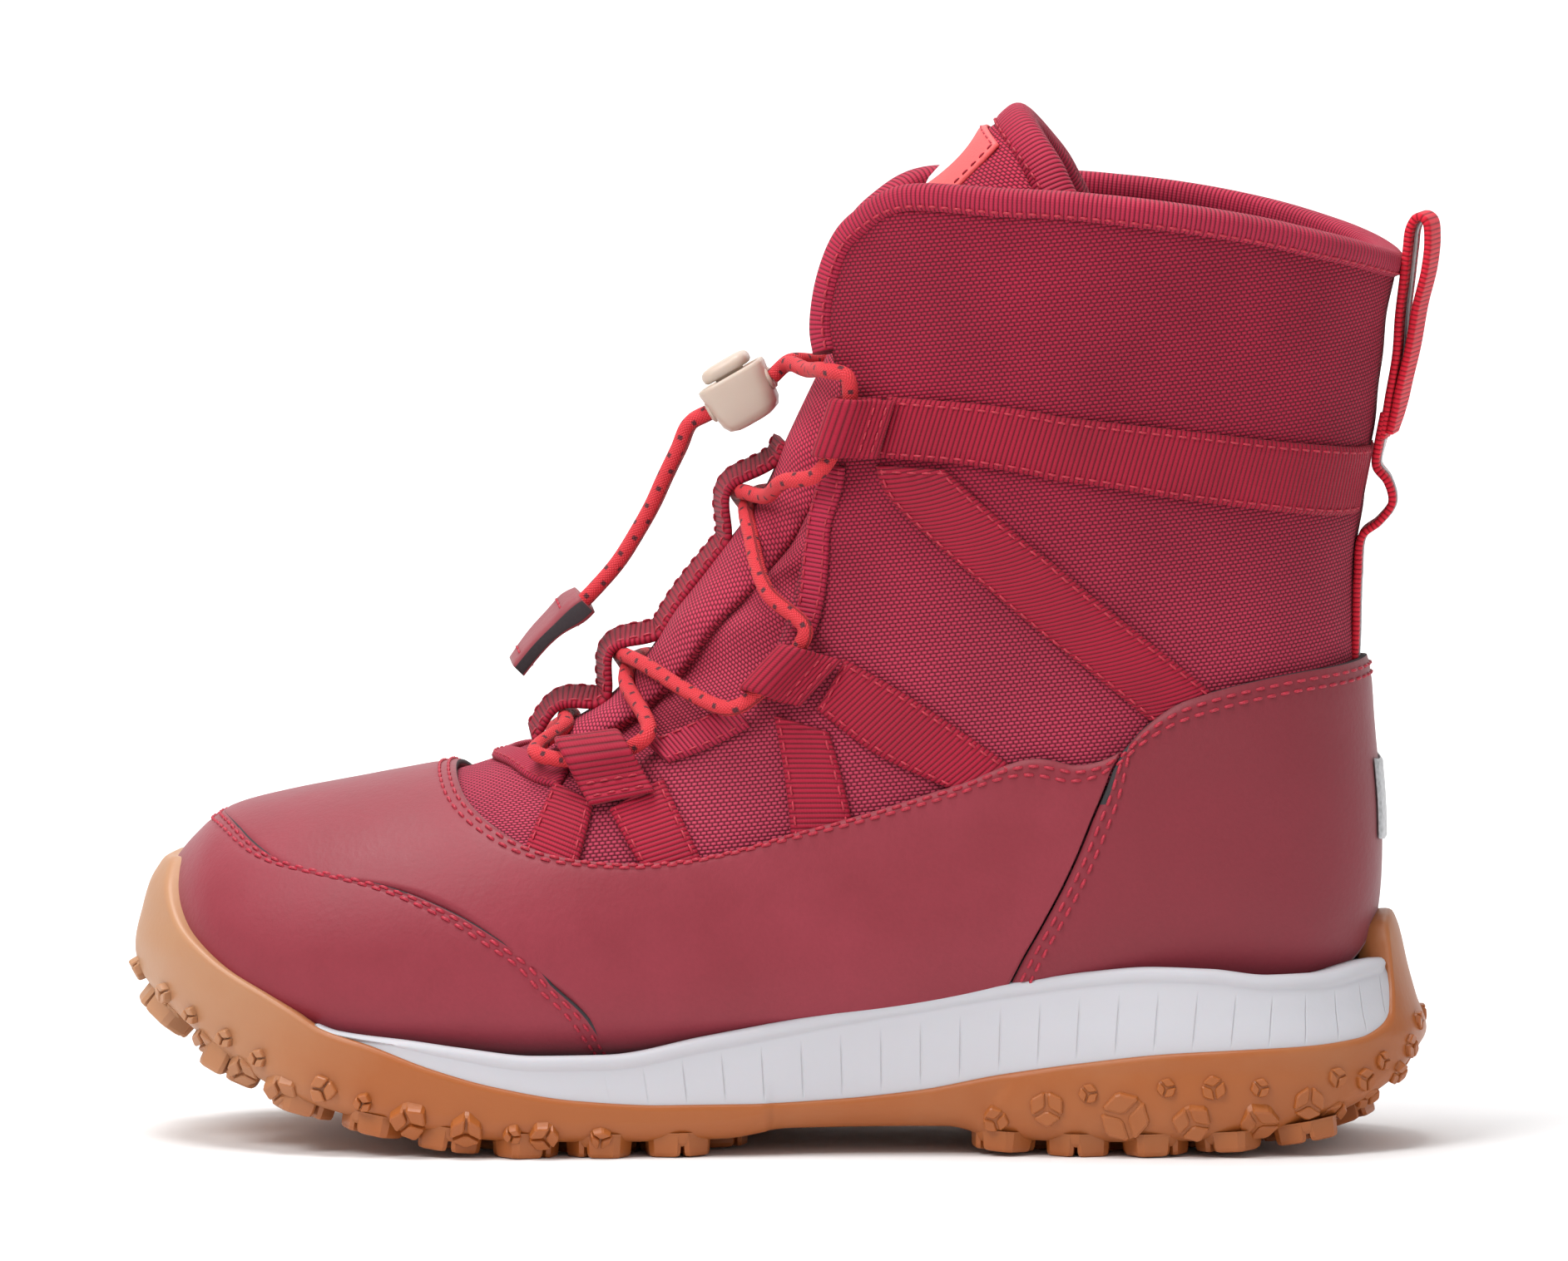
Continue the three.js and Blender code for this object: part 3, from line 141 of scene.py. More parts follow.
# ------------------------------------------------------------------ the foot shape, as in part.mjs
STATIONS = [
    [-97.0, 34.5, -97.0, 31.5, 2.0, 0.5, 1.0, 1.0],
    [-96.4, 38.5, -96.2, 27.5, 8.0, 0.55, 1.0, 0.9],
    [-94.8, 42.2, -94.4, 25.0, 14.5, 0.58, 1.0, 0.8],
    [-91.8, 46.0, -91.2, 22.5, 21.0, 0.62, 0.95, 0.7],
    [-87.0, 50.0, -86.0, 19.5, 27.0, 0.66, 0.95, 0.62],
    [-78.0, 52.6, -77.0, 17.0, 31.5, 0.68, 0.92, 0.58],
    [-64.0, 55.4, -62.0, 15.2, 34.5, 0.68, 0.92, 0.56],
    [-50.0, 58.4, -45.0, 14.6, 35.4, 0.68, 0.95, 0.56],
    [-38.0, 63.0, -28.0, 14.6, 34.4, 0.68, 0.96, 0.56],
    [-27.5, 69.0, -8.0, 15.2, 32.6, 0.68, 0.94, 0.58],
    [-17.5, 77.0, 14.0, 17.0, 30.8, 0.68, 0.9, 0.62],
    [-11.0, 87.0, 38.0, 19.0, 29.8, 0.66, 0.86, 0.66],
    [-8.0, 96.5, 62.0, 21.0, 29.4, 0.62, 0.84, 0.72],
    [-6.5, 102.5, 80.0, 23.0, 29.2, 0.58, 0.83, 0.8],
    [-5.5, 106.5, 90.0, 28.0, 29.0, 0.55, 0.83, 0.86],
    [-5.0, 110.5, 92.8, 38.0, 28.8, 0.53, 0.83, 0.9],
    [-4.2, 115.0, 93.2, 52.0, 28.6, 0.52, 0.83, 0.92],
    [-3.5, 120.0, 91.8, 70.0, 28.6, 0.5, 0.83, 0.95],
    [-2.5, 128.0, 91.2, 90.0, 29.2, 0.5, 0.83, 0.95],
    [-0.5, 138.0, 93.8, 112.0, 30.4, 0.5, 0.83, 0.95],
    [2.5, 148.0, 96.4, 131.0, 31.4, 0.5, 0.83, 0.95],
    [5.0, 156.0, 98.4, 143.5, 32.0, 0.5, 0.83, 0.95],
]


def bend(x):
    return 4.5 * (np.maximum(0, -15 - x) / 88) ** 2


def skin_point(u, v):
    """Point of the canvas face. v: 0 front, 0.5 lateral, 1 back, 1.5 medial."""
    fx, fz, bx, bz, width, widest, front, back = np.moveaxis(spline(STATIONS, u), -1, 0)
    angle = np.asarray(v, float) * math.pi
    c, s = np.cos(angle), np.sin(angle)
    power = np.where(c > 0, front, back)
    reach = np.abs(c) ** power
    along = np.where(c > 0, widest * (1 - reach), widest + (1 - widest) * reach)
    x = fx + (bx - fx) * along
    y = -width * np.sign(s) * np.abs(s) ** power
    return np.stack([x, y + bend(x), fz + (bz - fz) * along], axis=-1)


def skin(u, v, out=0.0):
    """The same point moved out along the skin's normal."""
    u, v = np.broadcast_arrays(np.asarray(u, float), np.asarray(v, float))
    e = 0.004
    du = skin_point(np.minimum(u + e, 1), v) - skin_point(np.maximum(u - e, 0), v)
    dv = skin_point(u, v + e) - skin_point(u, v - e)
    out = np.asarray(out, float)
    return skin_point(u, v) + unit(np.cross(dv, du)) * (out[..., None] if out.ndim else out)


def locate(x, z):
    """The (u, v) of a lateral point given in the side view."""
    low, high = 0.0, 1.0
    for _ in range(36):
        mid = (low + high) / 2
        fx, fz, bx, bz = spline(STATIONS, mid)[:4]
        if (x - fx) * (bz - fz) - (z - fz) * (bx - fx) < 0:
            low = mid
        else:
            high = mid
    fx, fz, bx, bz, _, widest, front, back = spline(STATIONS, low)
    length = (bx - fx) ** 2 + (bz - fz) ** 2
    t = min(max(((x - fx) * (bx - fx) + (z - fz) * (bz - fz)) / length, 0), 1)
    if t < widest:
        angle = math.acos((1 - t / widest) ** (1 / front))
    else:
        angle = math.pi - math.acos(((t - widest) / (1 - widest)) ** (1 / back))
    return [low, angle / math.pi]


def place(points):
    return [locate(x, z) for x, z in points]


def medial(uv):
    return [[u, 2 - v] for u, v in uv]


def side_of(uv, side):
    uv = np.array(uv, float)
    return uv if side < 0 else np.stack([uv[:, 0], 2 - uv[:, 1]], axis=1)


def u_where(column, value, low=0.0, high=1.0):
    """The u at which a column of STATIONS reaches a value."""
    for _ in range(36):
        mid = (low + high) / 2
        if spline(STATIONS, mid)[column] < value:
            low = mid
        else:
            high = mid
    return low


def u_front(x):
    return u_where(0, x)


def u_back(z):
    return u_where(3, z, 0.55)


def over_top(uv, u0, count):
    mirrored = [[u, -v] for u, v in uv][::-1]
    return evenly(mirrored + [[u0, 0]] + list(uv), count)


def round_heel(uv, u1, count):
    return evenly(list(uv) + [[u1, 1]] + medial(uv)[::-1], count)


# ------------------------------------------------------------------ mesh building
def to_frame(points):
    return (np.asarray(points, float).reshape(-1, 3) + SHIFT) * MM


def make(name, points, faces, material, body="boot", node=None, uv=None, smooth=True, parts=None):
    """One mesh piece. uv holds one millimetre pair per point, parts a material index per face."""
    mesh = bpy.data.meshes.new(name)
    mesh.from_pydata(to_frame(points).tolist(), [], faces)
    if uv is not None:
        layer = mesh.uv_layers.new(name="cloth")
        corners = np.empty(len(mesh.loops), int)
        mesh.loops.foreach_get("vertex_index", corners)
        layer.data.foreach_set("uv", np.asarray(uv, float).reshape(-1, 2)[corners].ravel())
    for m in material if isinstance(material, (list, tuple)) else [material]:
        mesh.materials.append(m)
    if parts is not None:
        mesh.polygons.foreach_set("material_index", np.asarray(parts, dtype=np.int32))
    mesh.polygons.foreach_set("use_smooth", [smooth] * len(mesh.polygons))
    mesh.update()
    mesh.validate()
    piece = bpy.data.objects.new(name, mesh)
    bpy.context.scene.collection.objects.link(piece)
    fix_normals(piece)
    if body:
        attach(piece, body)
    if node:
        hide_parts(*([node] if isinstance(node, str) else node))
    return piece


def fix_normals(piece):
    bm = bmesh.new()
    bm.from_mesh(piece.data)
    bmesh.ops.recalc_face_normals(bm, faces=bm.faces)
    bm.to_mesh(piece.data)
    bm.free()


def grid_faces(rows, columns, start=0, flip=False):
    i, j = np.meshgrid(np.arange(rows - 1), np.arange(columns - 1), indexing="ij")
    a = start + i * columns + j
    quads = np.stack([a, a + 1, a + columns + 1, a + columns], axis=-1).reshape(-1, 4)
    return (quads[:, ::-1] if flip else quads).tolist()


def sheet_faces(rows, columns):
    """Front faces, back faces and the faces round the rim of a sheet given as two grids of points."""
    n = rows * columns
    rim = ([j for j in range(columns)] + [i * columns + columns - 1 for i in range(1, rows)]
           + [(rows - 1) * columns + j for j in range(columns - 2, -1, -1)]
           + [i * columns for i in range(rows - 2, 0, -1)])
    around = [[b, a, a + n, b + n] for a, b in zip(rim, rim[1:] + rim[:1])]
    return grid_faces(rows, columns) + grid_faces(rows, columns, n, flip=True) + around


def both_sides(front, back):
    return np.concatenate([front.reshape(-1, front.shape[-1]), back.reshape(-1, back.shape[-1])])


def mesh_grid(u_low, u_high, rows, v_low, v_high, columns):
    """An even grid of (u, v): rows along u, columns along v."""
    return np.stack(np.meshgrid(np.linspace(u_low, u_high, rows), np.linspace(v_low, v_high, columns),
                                indexing="ij"), axis=-1)


def facing(at, path):
    """Outward directions of a surface at(u, v, out) along a path."""
    return at(path[:, 0], path[:, 1], 1) - at(path[:, 0], path[:, 1], 0)


def lengths(points):
    """Millimetre coordinates over a grid of points: along the columns and along the rows."""
    along = np.linalg.norm(np.diff(points, axis=1), axis=-1)
    across = np.linalg.norm(np.diff(points, axis=0), axis=-1)
    s = np.concatenate([np.zeros((points.shape[0], 1)), np.cumsum(along, axis=1)], axis=1)
    t = np.concatenate([np.zeros((1, points.shape[1])), np.cumsum(across, axis=0)], axis=0)
    return np.stack([s - s[:, -1:] / 2, t], axis=-1)


def edge_profile(d, radius):
    """How far a soft rounded edge has dropped at distance d from it."""
    near = np.clip(1 - d / radius, 0, 1)
    return radius * (1 - np.sqrt(1 - near ** 2))


def flat_cloth(points, half=30.0, middle=40.0, tilt=math.radians(-6)):
    """Millimetres over the cloth of the shaft: round it and up it, turned a little to the sole."""
    turned = np.arccos(np.clip(np.abs(points[..., 1]) / half, 0, 1))
    round_end = np.sign(points[..., 0] - middle) * half * (turned - np.sin(turned))
    x, z = points[..., 0] + round_end, points[..., 2]
    c, s = math.cos(tilt), math.sin(tilt)
    return np.stack([x * c - z * s, x * s + z * c], axis=-1)


def cloth_panel(name, at, uv_grid, low, high, material, node=None, body="boot", round_edge=0.5,
                relief=None, cut_edge=None, closed_edges=(True, True, True, True), cloth=None, edge_band=0.0):
    """A closed panel: at(uv, out) gives points; its outer face is rounded off at the edges.

    uv_grid is rows x columns x 2. relief(points, d, t) adds height to the outer face, where d is
    the distance from the nearest edge and t that from the first row. cut_edge is a second
    material for the edge faces.
    """
    outer0 = at(uv_grid[..., 0], uv_grid[..., 1], high)
    mm = lengths(outer0)
    s = mm[..., 0] - mm[:, :1, 0]
    t = mm[..., 1]
    far = np.full(s.shape, 1e3)
    d = np.minimum.reduce([
        t if closed_edges[0] else far, t[-1:] - t if closed_edges[1] else far,
        s if closed_edges[2] else far, s[:, -1:] - s if closed_edges[3] else far])
    rise = -edge_profile(d, round_edge)
    if relief is not None:
        rise = rise + relief(outer0, d, t)
    outer = at(uv_grid[..., 0], uv_grid[..., 1], high + rise)
    inner = at(uv_grid[..., 0], uv_grid[..., 1], np.full(s.shape, low))
    faces = sheet_faces(*s.shape)
    shown = (d[:-1, :-1] + d[1:, 1:]) / 2 < edge_band
    rim = len(faces) - 2 * shown.size
    parts = [*shown.astype(int).ravel(), *[0] * shown.size, *[1 if cut_edge else 0] * rim]
    mm = cloth(outer) if cloth else mm
    mats = [material, cut_edge] if cut_edge else material
    piece = make(name, both_sides(outer, inner), faces, mats, body, node, both_sides(mm, mm), parts=parts)
    return piece, outer


def ruled_grid(edge_a, edge_b, across):
    """Rows running evenly from one edge to the other."""
    a, b = np.asarray(edge_a), np.asarray(edge_b)
    f = np.linspace(0, 1, across + 1)[:, None, None]
    return a[None] * (1 - f) + b[None] * f


def patch_grid(front, back, bottom, top):
    """Rows run from bottom to top, columns from front to back."""
    front, back, bottom, top = (np.asarray(e, float) for e in (front, back, bottom, top))
    a = np.linspace(0, 1, len(bottom))[None, :, None]
    b = np.linspace(0, 1, len(front))[:, None, None]
    first = front[:, None] - (bottom[0] * (1 - b) + top[0] * b)
    last = back[:, None] - (bottom[-1] * (1 - b) + top[-1] * b)
    return bottom[None] * (1 - b) + top[None] * b + (1 - a) ** 4 * first + a ** 4 * last


def sweep(stops, wide, up, section):
    """Rings of a section swept along stops; wide and up are unit vectors at each stop."""
    section = np.asarray(section, float)
    return stops[:, None] + wide[:, None] * section[None, :, :1] + up[:, None] * section[None, :, 1:]


def squared(sides, half_wide, half_thick, power, power_thick=None):
    """A closed outline between a round one (power 1) and a rectangle (power 0)."""
    angle = np.linspace(0, 2 * math.pi, sides, endpoint=False)
    c, s = np.cos(angle), np.sin(angle)
    return np.stack([np.sign(c) * np.abs(c) ** power * half_wide,
                     np.sign(s) * np.abs(s) ** (power_thick or power) * half_thick], axis=1)


def run_and_round(line, around):
    """Cloth millimetres of a swept piece: along its line and round its section."""
    return np.stack(np.broadcast_arrays(travelled(line)[:, None], around[None]), axis=-1)


def ring_faces(count, n, closed_ends=True):
    """Faces of a tube made of count rings of n points."""
    faces = []
    for i in range(count - 1):
        for j in range(n):
            a, b = i * n + j, i * n + (j + 1) % n
            faces.append([a, b, b + n, a + n])
    if closed_ends:
        faces.append(list(range(n))[::-1])
        faces.append(list(range((count - 1) * n, count * n)))
    return faces


def tape_section(width, thick, n=6):
    """Outline of a woven tape: flat faces and rolled selvages."""
    r = thick / 2
    half = width / 2 - r
    turn = np.linspace(-math.pi / 2, math.pi / 2, n)
    across = np.linspace(-half, half, 8)
    right = np.stack([half + r * np.cos(turn), r * np.sin(turn)], axis=1)
    left = np.stack([-half - r * np.cos(turn), -r * np.sin(turn)], axis=1)
    top = np.stack([across[-2:0:-1], np.full(6, r)], axis=1)
    low = np.stack([across[1:-1], np.full(6, -r)], axis=1)
    return np.concatenate([right, top, left, low])


def tube(name, points, radius, material, sides, body="boot", node=None, scale=None):
    """A round cord along dense points. scale holds a factor on its radius at each of them."""
    points = np.asarray(points, float)
    tangent = unit(np.gradient(points, axis=0))
    up = np.zeros_like(points)
    side = np.cross(tangent[0], [0.3, 0.2, 0.93])
    for i, t in enumerate(tangent):
        side = side - t * np.dot(side, t)
        side = side / np.linalg.norm(side)
        up[i] = side
    wide = np.cross(tangent, up)
    angle = np.linspace(0, 2 * math.pi, sides, endpoint=False)
    section = np.stack([np.cos(angle), np.sin(angle)], axis=1) * radius
    size = np.ones((len(points), 1)) if scale is None else scale[:, None]
    rings = sweep(points, size * wide, size * up, section)
    uv = run_and_round(points, angle * radius)
    return make(name, rings, ring_faces(len(points), sides), material, body, node, uv)


# ------------------------------------------------------------------ stitches
class Thread:
    """Collects stitches and makes them into one mesh."""
    HUMP = ((0, 0.35, -0.7), (0.15, 0.9, 0.45), (0.5, 1, 0.8), (0.85, 0.9, 0.45), (1, 0.35, -0.7))

    def __init__(self):
        self.points, self.faces = [], []
        ring = np.linspace(0, 2 * math.pi, 6, endpoint=False)
        self.ring = np.stack([np.cos(ring), np.sin(ring)], axis=1)

    def add(self, a, b, out, radius):
        """One stitch from a to b, humped out of the cloth along out."""
        t = unit(b - a)
        wide = np.cross(t, out)
        for f, r, h in self.HUMP:
            centre = a + (b - a) * f + out * h * radius
            self.points.append(centre + radius * r * (wide * self.ring[:, :1] + out * self.ring[:, 1:]))
        rings, sides = len(self.HUMP), len(self.ring)
        start = (len(self.points) - rings) * sides
        self.faces += [[start + k for k in face] for face in ring_faces(rings, sides)]

    def run(self, line, outs, pitch=STITCH_PITCH, fill=0.72, radius=STITCH_RADIUS):
        """Stitches along a line of points with their outward directions."""
        count = max(int(travelled(line)[-1] / pitch), 1)
        both = resample(np.concatenate([line, outs], axis=1), count)
        for p, q in zip(both[:-1], both[1:]):
            gap = (q[:3] - p[:3]) * (1 - fill) / 2
            self.add(p[:3] + gap, q[:3] - gap, unit((p[3:] + q[3:])), radius)

    def finish(self, name, material, body="boot"):
        return make(name, np.concatenate(self.points), self.faces, material, body)


def inset_line(outer, edge, distance):
    """The line on an outer face at a distance from one edge, and its outward directions.

    edge: 0 first row, 1 last row, 2 first column, 3 last column.
    """
    grid = outer if edge in (0, 1) else outer.transpose(1, 0, 2)
    grid = grid if edge in (0, 2) else grid[::-1]
    run = np.concatenate([np.zeros((1, grid.shape[1])),
                          np.cumsum(np.linalg.norm(np.diff(grid, axis=0), axis=-1), axis=0)])
    line = np.array([[np.interp(distance, run[:, j], grid[:, j, k]) for k in range(3)]
                     for j in range(grid.shape[1])])
    inward = np.array([[np.interp(distance + 1, run[:, j], grid[:, j, k]) for k in range(3)]
                       for j in range(grid.shape[1])]) - line
    along = np.gradient(line, axis=0)
    outs = unit(np.cross(inward, along))
    return line, outs


def outward_of(line, outs):
    """Turns the directions so that they point away from the inside of the boot."""
    middle = len(line) // 2
    away = line[middle] - np.array([line[middle][0], 0, line[middle][2] - 8])
    return outs if np.dot(outs[middle], away) > 0 else -outs


# ------------------------------------------------------------------ materials
class Finish:
    """A Principled material and the few node helpers that the materials share."""

    def __init__(self, name, roughness=0.8, **values):
        self.material = bpy.data.materials.new(name)
        self.material.use_nodes = True
        self.tree = self.material.node_tree
        self.shader = self.tree.nodes["Principled BSDF"]
        self.shader.inputs["Roughness"].default_value = roughness
        for key, value in values.items():
            self.shader.inputs[key.replace("_", " ")].default_value = value
        self.normal = None

    def put(self, socket, value):
        if isinstance(value, bpy.types.NodeSocket):
            self.tree.links.new(value, socket)
        elif hasattr(socket.default_value, "__len__") and not hasattr(value, "__len__"):
            socket.default_value = (value,) * len(socket.default_value)
        else:
            socket.default_value = value

    def node(self, kind, inputs=(), **settings):
        made = self.tree.nodes.new("ShaderNode" + kind)
        for key, value in settings.items():
            setattr(made, key, value)
        for key, value in dict(inputs).items():
            self.put(made.inputs[key], value)
        return made

    def math(self, operation, a, b=0.0):
        return self.node("Math", {0: a, 1: b}, operation=operation).outputs[0]

    def cloth(self):
        """Millimetres along and across the cloth."""
        split = self.node("SeparateXYZ", {0: self.node("UVMap", uv_map="cloth").outputs[0]})
        return split.outputs[0], split.outputs[1]

    def place(self):
        return self.node("TexCoord").outputs["Object"]

    def noise(self, per_metre, detail=3.0, rough=0.5):
        made = self.node("TexNoise", {"Vector": self.place(), "Scale": per_metre, "Detail": detail,
                                      "Roughness": rough})
        return made.outputs[0]

    def ridges(self, along, pitch):
        """Ridges from 0 to 1 with the given pitch in millimetres."""
        turn = self.math("MULTIPLY", along, math.pi / pitch)
        return self.math("ABSOLUTE", self.math("SINE", turn))

    def span(self, value, low, high, to_low, to_high):
        made = self.node("MapRange", {0: value, 1: low, 2: high, 3: to_low, 4: to_high})
        return made.outputs[0]

    def mix(self, factor, a, b, blend="MIX"):
        made = self.node("Mix", data_type="RGBA", blend_type=blend)
        self.put(made.inputs[0], factor)
        self.put(made.inputs[6], a if isinstance(a, bpy.types.NodeSocket) else (*a, 1))
        self.put(made.inputs[7], b if isinstance(b, bpy.types.NodeSocket) else (*b, 1))
        return made.outputs[2]

    def bump(self, height, distance, strength=1.0):
        inputs = {"Height": height, "Distance": distance, "Strength": strength}
        if self.normal is not None:
            inputs["Normal"] = self.normal
        self.normal = self.node("Bump", inputs).outputs[0]

    def worn(self, colour, wear):
        """Ends the material with a colour that is dimmed by wear."""
        grey = self.node("CombineColor", {0: wear, 1: wear, 2: wear}).outputs[0]
        return self.done(self.mix(1.0, colour, grey, "MULTIPLY"))

    def done(self, colour, roughness=None):
        self.put(self.shader.inputs["Base Color"],
                 colour if isinstance(colour, bpy.types.NodeSocket) else (*colour, 1))
        if roughness is not None:
            self.put(self.shader.inputs["Roughness"], roughness)
        if self.normal is not None:
            self.put(self.shader.inputs["Normal"], self.normal)
        return self.material


def woven(name, dark, base, pitch=WEAVE_PITCH, depth=0.00024, sheen=0.04):
    """Coarse oxford weave: a bump for each crossing, alternate ones higher; painted shade between the
    crossings and painted light that makes the cloth paler low down on the boot.
    """
    f = Finish(name, 0.85, Sheen_Weight=sheen, Sheen_Roughness=0.5, Specular_IOR_Level=0.25)
    s, t = f.cloth()
    row = f.math("MULTIPLY", f.math("FLOOR", f.math("DIVIDE", t, pitch * 0.62)), pitch * 0.5)
    a = f.ridges(f.math("ADD", s, row), pitch)
    b = f.ridges(t, pitch * 0.62)
    crossing = f.math("MULTIPLY", f.math("POWER", a, 0.7), f.math("POWER", b, 0.7))
    fibre = f.noise(2600, 2)
    f.bump(f.math("ADD", crossing, f.math("MULTIPLY", fibre, 0.25)), depth, 0.9)
    shade = f.span(crossing, 0.1, 0.85, 0.0, 1.0)
    wear = f.span(f.noise(45, 4), 0.3, 0.7, 0.86, 1.1)
    # Painted light: low on the boot the cloth is mixed towards a paler pink, for the stronger light that
    # falls there.
    height_up = f.node("SeparateXYZ", {0: f.place()}).outputs[2]
    painted_light_low = f.mix(f.span(height_up, 0.046, 0.11, 0.9, 0.0), base, (0.56, 0.062, 0.118))
    return f.worn(f.mix(shade, dark, painted_light_low), wear)


def ribbed(name, dark, base, pitch=RIB_PITCH, depth=0.0002):
    """Grosgrain tape: rounded ribs across it, made of fine threads."""
    f = Finish(name, 0.68, Sheen_Weight=0.05, Sheen_Roughness=0.4, Specular_IOR_Level=0.3)
    s, t = f.cloth()
    rib = f.math("POWER", f.ridges(s, pitch), 0.75)
    f.bump(f.math("ADD", rib, f.math("MULTIPLY", f.ridges(t, 0.42), 0.16)), depth, 0.95)
    shade = f.span(rib, 0.15, 0.85, 0.0, 1.0)
    wear = f.span(f.noise(70, 3), 0.3, 0.7, 0.88, 1.1)
    return f.worn(f.mix(shade, dark, base), wear)


def nubuck(name, base, pale):
    """Matt coated leather: soft grain, faint cloudiness and pale rubbed patches."""
    f = Finish(name, 0.52, Sheen_Weight=0.24, Sheen_Roughness=0.45, Specular_IOR_Level=0.5)
    cloud = f.noise(38, 5, 0.6)
    grain = f.noise(1500, 4, 0.6)
    pores = f.node("TexVoronoi", {"Vector": f.place(), "Scale": 900.0}).outputs[0]
    f.bump(f.math("ADD", grain, f.math("MULTIPLY", pores, 0.4)), 0.00006, 0.8)
    f.bump(f.noise(110, 3), 0.0005, 0.35)
    colour = f.mix(f.span(cloud, 0.4, 0.72, 0.0, 0.55), base, pale)
    colour = f.mix(f.span(grain, 0.35, 0.75, 0.0, 0.16), colour, tuple(0.6 * c for c in base))
    return f.done(colour, f.span(cloud, 0.3, 0.7, 0.5, 0.64))


def plain(name, colour, roughness=0.6, grain=900, depth=0.00004, tint=0.12, **values):
    """A plain moulded or cut surface with fine unevenness in height, colour and gloss."""
    f = Finish(name, roughness, **values)
    fine = f.noise(grain, 3)
    f.bump(fine, depth, 0.7)
    cloud = f.noise(60, 3)
    dark = tuple(c * (1 - tint) for c in colour)
    return f.done(f.mix(f.span(cloud, 0.35, 0.65, 0, 1), dark, colour),
                  f.span(fine, 0.3, 0.7, roughness - 0.05, roughness + 0.06))


def rubber(name, side, toe):
    """Gum rubber: warm and faintly translucent, paler at the toe, with a fine moulded grain."""
    f = Finish(name, 0.42, Subsurface_Weight=0.12, Subsurface_Scale=0.004, Specular_IOR_Level=0.45)
    split = f.node("SeparateXYZ", {0: f.place()})
    x, z = split.outputs[0], split.outputs[2]
    cloud = f.noise(55, 4)
    fine = f.noise(1100, 3)
    f.bump(fine, 0.00005, 0.6)
    pale = f.math("ADD", f.span(x, -0.102, -0.06, 0.9, 0.0), f.span(z, 0.012, 0.034, 0.0, 0.35))
    pale = f.math("ADD", pale, f.span(cloud, 0.35, 0.7, -0.12, 0.15))
    f.put(f.shader.inputs["Subsurface Radius"], (0.9, 0.45, 0.2))
    return f.done(f.mix(pale, side, toe), f.span(cloud, 0.3, 0.7, 0.36, 0.5))


def foam(name, colour):
    """White moulded foam with short upright lines pressed into its wall behind the ball of the foot."""
    f = Finish(name, 0.6, Subsurface_Weight=0.08, Subsurface_Scale=0.003)
    s, t = f.cloth()
    lean = f.math("MULTIPLY", f.math("MULTIPLY", f.math("SUBTRACT", s, 150.0), 0.003), t)
    spaced = f.math("DIVIDE", f.math("SUBTRACT", s, lean), 6.1)
    near = f.math("ABSOLUTE", f.math("SUBTRACT", f.math("FRACT", spaced), 0.5))
    line = f.span(near, 0.0, 0.035, 1.0, 0.0)
    for limit in (f.span(s, 98.0, 112.0, 0.0, 1.0), f.span(t, 0.6, 2.0, 0.0, 1.0),
                  f.span(t, 5.5, 7.5, 1.0, 0.0)):
        line = f.math("MULTIPLY", line, limit)
    line = f.math("SUBTRACT", 1.0, line)
    f.bump(line, 0.0002, 0.7)
    f.bump(f.noise(700, 3), 0.00005, 0.6)
    shade = f.mix(line, tuple(c * 0.93 for c in colour), colour)
    return f.done(f.mix(f.span(f.noise(40, 3), 0.35, 0.7, 0.0, 0.3), shade, tuple(c * 0.93 for c in colour)))


def braided(name, base, dark):
    """Braided elastic cord: slanting strands with dark flecks."""
    f = Finish(name, 0.6, Sheen_Weight=0.04)
    s, t = f.cloth()
    strand = f.math("MULTIPLY", f.ridges(f.math("ADD", s, t), 0.55), f.ridges(f.math("SUBTRACT", s, t), 0.55))
    f.bump(strand, 0.00018, 0.9)
    cell = f.math("ADD", f.math("MULTIPLY", f.math("FLOOR", f.math("DIVIDE", s, 1.1)), 0.37),
                  f.math("MULTIPLY", t, 0.16))
    near = f.math("ABSOLUTE", f.math("SUBTRACT", f.math("FRACT", cell), 0.5))
    along = f.math("ABSOLUTE", f.math("SUBTRACT", f.math("FRACT", f.math("DIVIDE", s, 1.1)), 0.5))
    fleck = f.math("MULTIPLY", f.span(near, 0.05, 0.09, 1.0, 0.0), f.span(along, 0.25, 0.4, 1.0, 0.0))
    lit = f.mix(f.span(strand, 0.0, 0.6, 0.55, 1.0), tuple(c * 0.55 for c in base), base)
    return f.done(f.mix(fleck, lit, dark))


def fleece(name, colour):
    """Brushed lining with short pile."""
    f = Finish(name, 0.95, Sheen_Weight=0.5, Sheen_Roughness=0.6)
    pile = f.noise(1300, 4, 0.7)
    f.bump(pile, 0.0004, 0.8)
    f.bump(f.noise(160, 2), 0.001, 0.4)
    return f.done(f.mix(f.span(pile, 0.3, 0.7, 0, 1), tuple(c * 0.6 for c in colour), colour))


def reflective(name, colour, spark):
    f = Finish(name, 0.38, Metallic=0.25)
    cells = f.node("TexVoronoi", {"Vector": f.place(), "Scale": 1400.0}).outputs[0]
    f.bump(cells, 0.00005, 0.6)
    return f.done(f.mix(f.span(cells, 0.2, 0.8, 0.0, 0.5), colour, spark))


def stitched_thread(name, colour):
    f = Finish(name, 0.5, Sheen_Weight=0.05)
    twist = f.noise(3500, 2)
    f.bump(twist, 0.00008, 0.7)
    return f.done(f.mix(f.span(twist, 0.35, 0.65, 0, 1), tuple(c * 0.6 for c in colour), colour))


